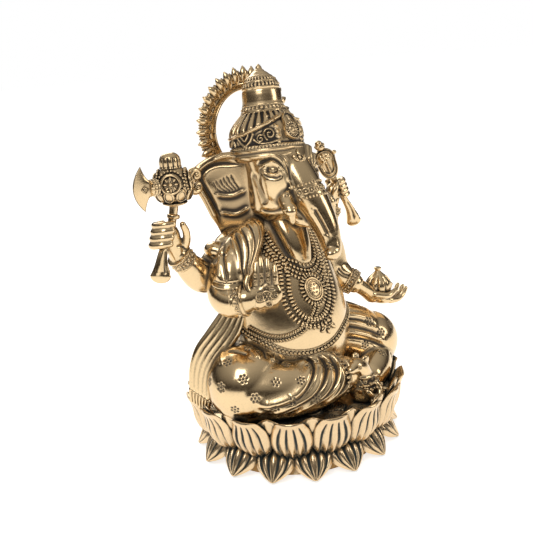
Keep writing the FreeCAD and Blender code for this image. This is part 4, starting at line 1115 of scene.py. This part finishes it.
knob += beaded(knob_middle + [0, 0, 6.2], 6.9, 30, 0.72) + beaded(knob_middle + [0, 0, 7.6], 5.4, 24, 0.7)
washed("axe_pot", knob, "axe_knob", smooth_steps=4, depth=0.3)
washed("axe_dome", [turned((-59.3, 8, 130), [(-0.6, 3.4), (0, 4.6), (1.6, 5.0), (3.6, 5.0), (5.6, 4.3),
                                             (7.0, 2.6), (7.6, 0.5)], lambda h,
                           t: -0.55 * np.abs(np.sin(6 * t)) ** 6 * (h < 5.4) * (h > 0.4)
                           + 0.45 * np.exp(-((h - 0.4) / 0.5) ** 2), 120, 50)], "axe_cap")

across, along = np.meshgrid(np.linspace(0, 1, 40), np.linspace(-1, 1, 56), indexing="ij")
outer = -75.2 - 5.0 * (1 - along ** 2)
x = -70.4 + (outer + 70.4) * across
z = 122.6 + along * (3.4 + 7.0 * across ** 2.2)
thick = 1.5 * (1 - 0.85 * across) * np.sqrt(np.clip(1 - along ** 8, 0, 1)) + 0.12
grid = np.concatenate([np.stack([x, 8.4 - thick, z], -1), np.stack([x, 8.4 + thick, z], -1)[:, ::-1]], 1)
blade_bodies = [skin(grid)]
for y, facing in ((6.95, -1), (9.85, 1)):
    for size, wire in ((1.7, 0.3), (0.7, 0.45)):
        blade_bodies.append(set_on(torus(size, wire, 4, 6), (-74.6, y, 122.6), (0, facing, 0)))
blade_bodies += [turned((-69.8, 8.2, 122.6), [(-2.2, 3.0), (-1.6, 4.0), (-0.8, 3.4), (0, 4.1), (0.8, 3.4),
                                              (1.6, 3.9), (2.4, 2.4)], lambda h,
                        t: 0.15 * np.cos(14 * t) + 0 * h, 60, 40, (-1, 0, 0))]
buffed("axe_crescent", gather(blade_bodies), "axe_blade")
curls = []
for sign in (1, -1):
    path = [(-51.5, 7.6, 122 + sign * 1.2, 1.9), (-48.2, 7.4, 122 + sign * 4.8, 1.7),
            (-45.2, 7.4, 122 + sign * 4.6, 1.5), (-44.6, 7.4, 122 + sign * 1.9, 1.2),
            (-46.6, 7.2, 122 + sign * 1.6, 1.0), (-47.2, 7.0, 122 + sign * 3.0, 0.8)]
    curls.append(sweep(path, across=(0, 1, 0), count=50, around=20))
washed("axe_scrolls", curls + [set_on(ball(1.3, 10, 8), (-46.2, 6.4, 125.2), (0, -1, 0)),
                               set_on(ball(1.1, 10, 8), (-46.2, 6.4, 118.8), (0, -1, 0))], "axe_curl")

# ---- Noose bud and sweet -----------------------------------------------------------------------
# The rear left hand holds a flat drop-shaped bud on a shaft that ends in a flared ribbon. The open
# hand carries a small fluted sweet dumpling.
bud_foot, bud_top = np.array([49.5, 12.4, 107.5]), np.array([40.0, 12.6, 129.0])
bud_up = (bud_top - bud_foot) / np.linalg.norm(bud_top - bud_foot)
bud_out = np.array([-0.60, -0.80, 0.0])
tilt, spin = np.meshgrid(np.linspace(0.01, 1, 64), np.linspace(0, 2 * np.pi, 110, endpoint=False),
                         indexing="ij")
edge = 6.1 * (1 + 1.0 * np.clip(-np.sin(spin), 0, 1) ** 4)
px, pz = tilt * edge * np.cos(spin), tilt * edge * np.sin(spin)
flower = sum(np.exp(-(((px - 2.0 * math.cos(a)) ** 2 + (pz - 1.0 - 2.0 * math.sin(a)) ** 2) / 0.95 ** 2))
             for a in np.radians(np.arange(0, 360, 72) + 90))
rays = np.clip(np.cos(px * 3.2 / np.clip(1.2 + 0.16 * (pz + 11), 0.4, 3) * 1.25), 0,
               1) * np.clip((-1.6 - pz) / 1.0, 0, 1)
carved = (1.0 * np.exp(-((tilt - 0.93) / 0.05) ** 2) + 0.8 * np.exp(-((tilt - 0.74) / 0.05) ** 2)
          + (tilt < 0.70) * (1.0 * flower + 0.7 * rays)
          + 0.9 * np.exp(-((px ** 2 + (pz - 1.0) ** 2) / 0.7 ** 2)))
thick = 1.7 * np.sqrt(np.clip(1 - tilt ** 3, 0.02, 1)) + 0.75 * carved * (tilt < 0.985)
front_face, back_face = np.stack([px, pz, thick], -1), np.stack([px, pz, -thick], -1)[::-1]
leaf = skin(np.concatenate([front_face, back_face]))
bud_middle = bud_foot + bud_up * 12.6
bud = [set_on(leaf, bud_middle, bud_out, bud_up), egg(tuple(bud_middle + bud_up * 7.4), (3.0, 2.4, 2.0)),
       egg(tuple(bud_middle + bud_up * 9.6), (2.1, 2.0, 1.9))]
bud += beaded(bud_middle + bud_up * 8.4, 2.5, 12, 0.6, bud_up)
edge_point = np.cross(bud_up, bud_out)
edge_point = edge_point if edge_point[0] > 0 else -edge_point
bud.append(egg(tuple(bud_middle + edge_point * 6.3 + bud_up * 1.5), (1.6, 1.4, 1.2)))
washed("noose_bud", bud, "lotus_bud", smooth_steps=8, depth=0.3)
shaft = sweep([(48.8, 12.6, 110, 1.9), (51.0, 12.4, 105, 2.0), (55.2, 11.8, 97.5, 2.0)], count=30, around=24)
ribbon = sweep([(54.6, 11.4, 98.5, 1.8, 0.9), (58.4, 11.6, 92.5, 2.0, 0.8), (61.6, 11.8, 87, 2.5, 0.6),
                (63.6, 12.0, 82.5, 3.6, 0.42), (64.4, 12, 80.2, 4.3, 0.36)], across=(0.78, -0.63, 0),
               count=60, around=48, power=2.6)
ribbon = relief(ribbon, ([(57.4, 9.6, 93), (60.8, 9.2, 87), (63.0, 9.4, 80.5)], 0.7, -0.6),
                ([(60, 9.6, 93), (64, 10, 87), (67, 10.4, 80.5)], 0.45, 0.35))
buffed("noose_shaft", gather([shaft, ribbon]), "bud_handle", depth=0.2)
dumpling = turned((58, -11, 41.2), [(-0.8, 3.0), (-0.2, 5.2), (1.8, 7.0), (4.6, 7.6), (7.6, 7.0),
                                    (10.2, 5.2), (12.0, 3.2), (13.4, 1.9), (14.6, 1.9), (15.6, 2.1),
                                    (16.0, 1.3)], lambda h, t: -0.95 * np.abs(np.sin(4.5 * t)) ** 8
                  * np.clip((12.6 - h) / 3, 0, 1) * np.clip(h / 1.5, 0.2,
                                                            1) - 0.25 * np.exp(-((h - 13.9) / 0.4) ** 2),
                  180, 90)
buffed("modak_sweet", dumpling, "modak", depth=0.25)

# ---- Shawl -------------------------------------------------------------------------------------
# A pleated shawl is cast over the right shoulder and sleeve, crosses the back, and hangs beside the
# right thigh to a knotted fringe. Its pleats are modelled in wax and buffed on their ridges.
sleeve = cast([egg((-29, 3, 84), (13.5, 12.5, 11.5)), egg((-40.5, 4.5, 86.5), (6.5, 6.5, 4.8), (0, 25, 0)),
               sweep([(-15, 3, 95, 5), (-24, -2, 91, 8.5), (-33, -5, 85, 10.6), (-40, -7.5, 78, 11.2),
                      (-43, -9, 73.5, 10.6)], 0.85)], 0.5, 5)
pleats = []
for k in range(5):
    s = k / 4
    pleats.append(([(-37 + 19 * s, -5 + 5 * s, 94 + 4 * s), (-41 + 17 * s, -12 + 1.0 * s, 86 + 3 * s),
                    (-43.5 + 10 * s, -16 - 0.5 * s, 79.5), (-42 + 4.5 * s, -18.5, 73.5)], 1.1, 1.0))
    pleats.append(([(-35 + 19 * s, -5 + 5 * s, 95 + 4 * s), (-39 + 16.5 * s, -12.4 + 1.0 * s,
                                                             87 + 2.6 * s), (-42.3 + 9.6 * s, -17, 79.8),
                    (-41.4 + 4 * s, -19, 73.5)], 0.7, -0.9))
pleats += [([(-44, -3, 92), (-48, -8, 84), (-51, -11, 76)], 1.4, 0.8),
           ([(-42.5, -4, 92), (-46, -10, 83), (-49, -14, 75)], 0.9, -0.8),
           ([(-47, 2, 85), (-44, -2, 83.5), (-41, -9, 84)], 0.9, -1.0),
           ([(-52, -4, 74.5), (-50, -14, 73.5), (-44, -19, 73.0)], 0.7, 0.9),
           ([(-53, -4, 76.5), (-50.5, -14, 75.7), (-44, -19.5, 75.2)], 0.45, -0.6)]
sleeve = relief(sleeve, *pleats)
sleeve_tree = tree_of(sleeve)
hem = []
for s in np.linspace(0, 1, 15):
    point, normal = onto(sleeve_tree, (-52 + 11 * s, -5 - 14 * s ** 0.8, 74.2 - 0.8 * s), (-0.7, -0.7, 0))
    hem.append(set_on(ball(0.62, 8, 6), point, normal))
buffed("shawl_sleeve", sleeve, "shawl_shoulder", depth=0.2)
washed("shawl_hem_beads", hem, smooth_steps=3)
back = sweep([(-25, 19, 84, 7), (-14, 24.5, 78, 9), (4, 25.5, 72, 9), (20, 22.5, 62, 8),
              (29, 15.5, 50, 5)], 0.3, across=(0, 0, 1), count=140, around=130)
pleats = []
for k in range(5):
    up = 3.2 * (k - 2)
    pleats.append(([(-25, 22, 84 + up), (-14, 28, 78 + up), (4, 29, 72 + up), (20, 26, 62 + up),
                    (29, 18, 50 + 0.6 * up)], 0.9, 0.8))
    pleats.append(([(-25, 22, 85.6 + up), (-14, 28, 79.6 + up), (4, 29, 73.6 + up), (20, 26, 63.6 + up),
                    (29, 18, 51 + 0.6 * up)], 0.6, -0.7))
tip = sweep([(40, 12.5, 76, 3.4), (45.5, 13.5, 78, 3.0), (49, 14, 79.4, 2.2), (52.5, 14, 80.4, 0.8)], 0.5,
            across=(0, 0, 1))
buffed("shawl_across_back", gather([relief(back, *pleats), tip]), "shawl_back", depth=0.2)
tail_line = [(-34, 0, 57), (-38, 2, 49.5), (-44.5, 4.5, 41), (-50, 8, 33), (-53.5, 10, 24), (-55.5, 10, 14)]
fan = np.array([0.5, -0.61, -0.58])
strips, fringe = [], []
for k in range(5):
    offset = fan * (k - 2)
    strips.append(sweep([tuple(np.array(p) + offset * w) + (r,) for p, w,
                         r in zip(tail_line, (2.0, 2.7, 2.9, 2.9, 2.7, 2.5), (1.9, 2.2, 2.3, 2.2, 2.0,
            1.8))], count=60, around=22))
for k in range(7):
    root = np.array(tail_line[-1]) + fan * 1.9 * (k - 3)
    fringe.append(sweep([tuple(root) + (1.3,), tuple(root + [-0.9, 0, -3.2]) + (1.0,),
                         tuple(root + [-1.3, 0.2 * (k - 3), -7.0]) + (0.8,)], count=16, around=12))
    fringe.append(egg(tuple(root + [-0.4, -0.3, -0.8]), (1.5, 1.5, 1.2), around=12, along=8))
tail = relief(cast(strips, 0.42, 2))
buffed("shawl_tail_pleats", gather([tail] + fringe), "shawl_tail", depth=0.22)

# ---- Jewellery ---------------------------------------------------------------------------------
# Strings of cast beads lie on the chest and belly: a four-row necklace, a thick garland of
# crosswise beads, a twisted band, a belt, and an oval pendant. The dark between the beads is painted
# shade.
torso_tree = tree_of(torso)


def strand(tree, path, size, pitch, shift=0.0, lift=0.4, twist=0.0):
    """Beads laid along a path on a surface. size is each bead's half length along, across and out;
    shift moves the row sideways and twist turns each bead about the surface normal."""
    laid = np.array([tuple(tree.find_nearest(Vector(p))[0]) for p in flow(path, 12 * len(path))])
    run = np.concatenate([[0], np.cumsum(np.linalg.norm(np.diff(laid, axis=0), axis=1))])
    places = np.arange(0, run[-1], pitch)
    points = np.stack([np.interp(places, run, laid[:, k]) for k in range(3)], -1)
    ways = np.gradient(points, axis=0)
    beads = []
    for point, way in zip(points, ways):
        near, normal, _, _ = tree.find_nearest(Vector(point))
        normal = np.array(normal)
        across = np.cross(normal, way)
        across /= np.linalg.norm(across)
        near = np.array(tree.find_nearest(Vector(np.array(near) + across * shift))[0])
        up = across * math.cos(twist) + np.cross(normal, across) * math.sin(twist)
        beads.append(set_on(egg((0, 0, 0), size, around=8, along=6), near + normal * lift, normal, tuple(up)))
    return beads


collar_line = [(-18, 4, 98), (-17.5, -4, 92.5), (-15.5, -11, 84.5), (-10, -17.5, 77.5), (-3, -20, 74.5),
               (4.5, -18.5, 76.5), (9.5, -12, 84), (12, -4, 92), (13, 3, 97)]
beads = []
for k in range(4):
    beads += strand(torso_tree,
                    [tuple(np.array([-2.5, -6, 90]) + (np.array(p) - [-2.5, -6, 90]) * (1 + 0.135 * k))
                     for p in collar_line], (0.95, 1.05, 1.0), 2.0)
washed("bead_necklace", beads, "necklace", smooth_steps=3)
garland_line = [(-18, 0, 95), (-17, -8, 87.5), (-16, -14, 80), (-17.5, -18.5, 72), (-20, -21.5, 64),
                (-19.5, -24.5, 56), (-15.5, -27.5, 50), (-9, -30, 47.5), (-2, -30.5, 49.5), (4, -28.5, 56),
                (7.5, -25, 64), (10, -19.5, 73), (13, -11, 83), (14, -2, 93)]
beads = strand(torso_tree, garland_line, (0.85, 1.75, 1.25), 1.95, -1.8) + strand(torso_tree, garland_line,
        (0.85, 1.75, 1.25), 1.95, 1.8)
washed("bead_garland", beads, "garland", smooth_steps=3)
band_line = [(-34.5, -8, 47), (-31, -18, 43.5), (-25, -24.5, 43), (-18, -28.5, 45.5), (-11, -30, 50.5),
             (-5.5, -29, 57), (0, -27.5, 62), (6, -25, 66), (12, -20, 72)]
beads = []
for shift, slant in ((-1.15, 0.7), (1.15, -0.7)):
    beads += strand(torso_tree, band_line, (0.62, 1.25, 0.95), 1.35, shift, 0.3, slant)
washed("twisted_band", beads, "belly_band", smooth_steps=3)
belt_line = [(-36, 0, 46), (-34.5, -12, 42.5), (-30, -21, 38), (-23, -26.5, 34.5), (-12, -31, 33),
             (0, -31.5, 35), (10, -28.5, 39.5), (19, -22, 43), (26, -12, 46)]
beads = strand(torso_tree, belt_line, (0.95, 0.95, 0.95), 2.1) + strand(torso_tree, belt_line,
        (0.9, 0.35, 0.5), 1.5, 1.7, 0.1) + strand(torso_tree, belt_line, (0.9, 0.35, 0.5), 1.5, -1.7, 0.1)
washed("bead_belt_row", beads, "bead_belt", smooth_steps=3)
point, normal = onto(torso_tree, (-5.5, -28, 64.5), (0, -1, 0.1))
oval = []
for k, (wire, scale_of) in enumerate(((0.55, 4.9), (0.4, 3.9))):
    ring_body = torus(scale_of, wire, 48, 8)
    oval.append((ring_body[0] * [1, 1.16, 1] + [0, 0, 0.7], ring_body[1]))
oval.append(egg((0, 0, 0), (4.7, 5.5, 0.9), around=40, along=14))
for k in range(7):
    a = 2 * np.pi * k / 6
    oval.append(egg((0, 0, 0.9) if k == 6 else (2.0 * math.cos(a), 2.3 * math.sin(a), 0.85),
                    (0.72, 0.72, 0.6), around=10, along=7))
for a in np.linspace(0, 2 * np.pi, 26, endpoint=False):
    oval.append(egg((6.6 * math.cos(a), 7.7 * math.sin(a), 0.2), (1.5, 0.68, 0.95),
                    (0, 0, math.degrees(a)), around=10, along=7))
oval = [set_on(body, point + 0.3 * normal, normal) for body in oval]
point, normal = onto(torso_tree, (-2.5, -32, 47), (0, -1, 0))
oval += [set_on(body, point, normal) for body in (rosette(3.4, 6, 1.3),
                                                  egg((-3.2, -3.2, 0.3), (1.2, 2.4, 0.9), (0, 0, -40)),
                                                  egg((3.2, -3.2, 0.3), (1.2, 2.4, 0.9), (0, 0, 40)),
                                                  egg((0, -4.6, 0.3), (1.1, 2.2, 0.9)))]
washed("oval_pendant", oval, "pendant", smooth_steps=4, depth=0.3)

# ---- Feet, mouse and ball ----------------------------------------------------------------------
# The bare toes rest on the seat beside a crouching mouse, which is cast on its own with a ribbed
# collar and a string of beads, and holds a sweet ball in its paws.
right_foot = [sweep([(0, -32.5, 16, 7.6), (6, -33.5, 15.5, 6.6), (12, -34, 14, 6.0), (18, -34, 12, 5.2)],
                    0.8, across=(0, 1, 0))]
for k in range(5):
    right_foot.append(finger([(17, -37.5 + 2.4 * k, 11.5), (21, -38 + 2.4 * k, 10.4),
                              (24 - 0.3 * k, -38.4 + 2.5 * k, 10.0)], 1.75 - 0.12 * k, 0.8))
buffed("right_foot_casting", cast(right_foot, 0.42, 3), "right_foot")
left_foot = [sweep([(27, -29, 7, 7.4), (22.5, -34, 6, 6.6), (19.5, -38, 4.6, 6.0)], 0.72,
                   across=(0.8, 0.5, 0))]
for k in range(5):
    root = np.array([23.0 - 2.3 * k, -38.2 - 0.9 * k, 4.4])
    left_foot.append(finger([tuple(root), tuple(root + [-0.9, -3.0, -0.9]),
                             tuple(root + [-1.3, -5.0 + 0.35 * k, -2.1])], 1.9 - 0.14 * k, 0.8))
buffed("left_foot_casting", cut_below(cast(left_foot, 0.42, 3), 0.3), "left_foot")
anklet = []
for row in range(4):
    for a in np.radians(np.arange(0, 360, 15)):
        middle = np.array([-1.5 + 1.75 * row, -32.7 - 0.2 * row, 16])
        anklet.append(set_on(ball(1.05, 8, 6), middle + np.array([0, math.cos(a), math.sin(a)]) * (10.0
                - 0.75 * row), (0.2, math.cos(a), math.sin(a))))
washed("anklet_beads", anklet, smooth_steps=3)

mouse = [egg((13, -38.8, 7.5), (8.6, 7.4, 8.6)), sweep([(12, -38.5, 14, 6.2), (9.5, -39, 18.5, 5.8),
                                                        (6, -40, 21, 4.6), (2.2, -41, 20.8, 2.6)]),
         egg((12.8, -41.2, 23.2), (2.6, 1.3, 2.8)), egg((11.4, -35.6, 24.0), (2.4, 1.3, 2.6)),
         egg((19, -42.5, 4.5), (4.6, 3.0, 4.2)),
         sweep([(9, -44, 11, 2.0), (8.5, -46.5, 8, 1.7), (10.5, -48, 5.6, 1.5)]),
         sweep([(15, -45, 11, 2.0), (16, -47.4, 8, 1.7), (14.5, -48.6, 5.6, 1.5)]),
         sweep([(20, -37, 3, 1.8), (25, -39, 2.2, 1.5), (27.5, -43, 2, 1.2), (25, -46.5, 2, 0.9)])]
lines = [([(4.5, -44, 15.6 - 1.7 * k), (11, -46.4, 15.0 - 1.7 * k), (19, -43.5, 15.6 - 1.7 * k)], 0.6,
          0.8 * (-1) ** k) for k in range(4)]
lines += [([(18, -46, 10), (21.5, -43, 6), (20, -41, 1.5)], 0.7, -0.8),
          ([(16, -46.4, 10), (19.5, -44.6, 5.5), (18, -43, 1.5)], 0.6, 0.6)]
mouse = cut_below(relief(cast(mouse, 0.42, 3), *lines), 0.25)
mouse_tree = tree_of(mouse)
buffed("mouse_casting", mouse, "mouse", depth=0.2)
trim = []
for eye in ((5.8, -44, 22), (6.5, -37, 22.5)):
    point, normal = onto(mouse_tree, eye, (-0.3, -1 if eye[1] < -40 else 1, 0.4))
    trim += [set_on(torus(0.95, 0.28, 14, 6), point, normal), set_on(ball(0.55), point, normal)]
trim += strand(mouse_tree, [(5.5, -43, 11.5), (8.5, -47, 9.8), (13, -47.6, 9.4), (18, -46, 10.2),
                            (22, -42, 11.5)], (0.75, 0.75, 0.75), 1.6)
trim += strand(mouse_tree, [(17.5, -47, 9), (20, -46, 6.5), (20.5, -45.5, 3), (18, -46, 1)],
               (0.7, 0.7, 0.7), 1.5)
washed("mouse_trim", trim, smooth_steps=3)
swirl = turned((12, -48.6, 3.3), [(-3.2, 0.6), (-2.6, 2.0), (0, 3.2), (2.6, 2.0), (3.2, 0.6)], lambda h,
               t: 0.3 * np.sin(7 * t + 3 * h), 70, 40, (0.1, -0.4, 1))
buffed("sweet_ball", swirl, "ladoo")
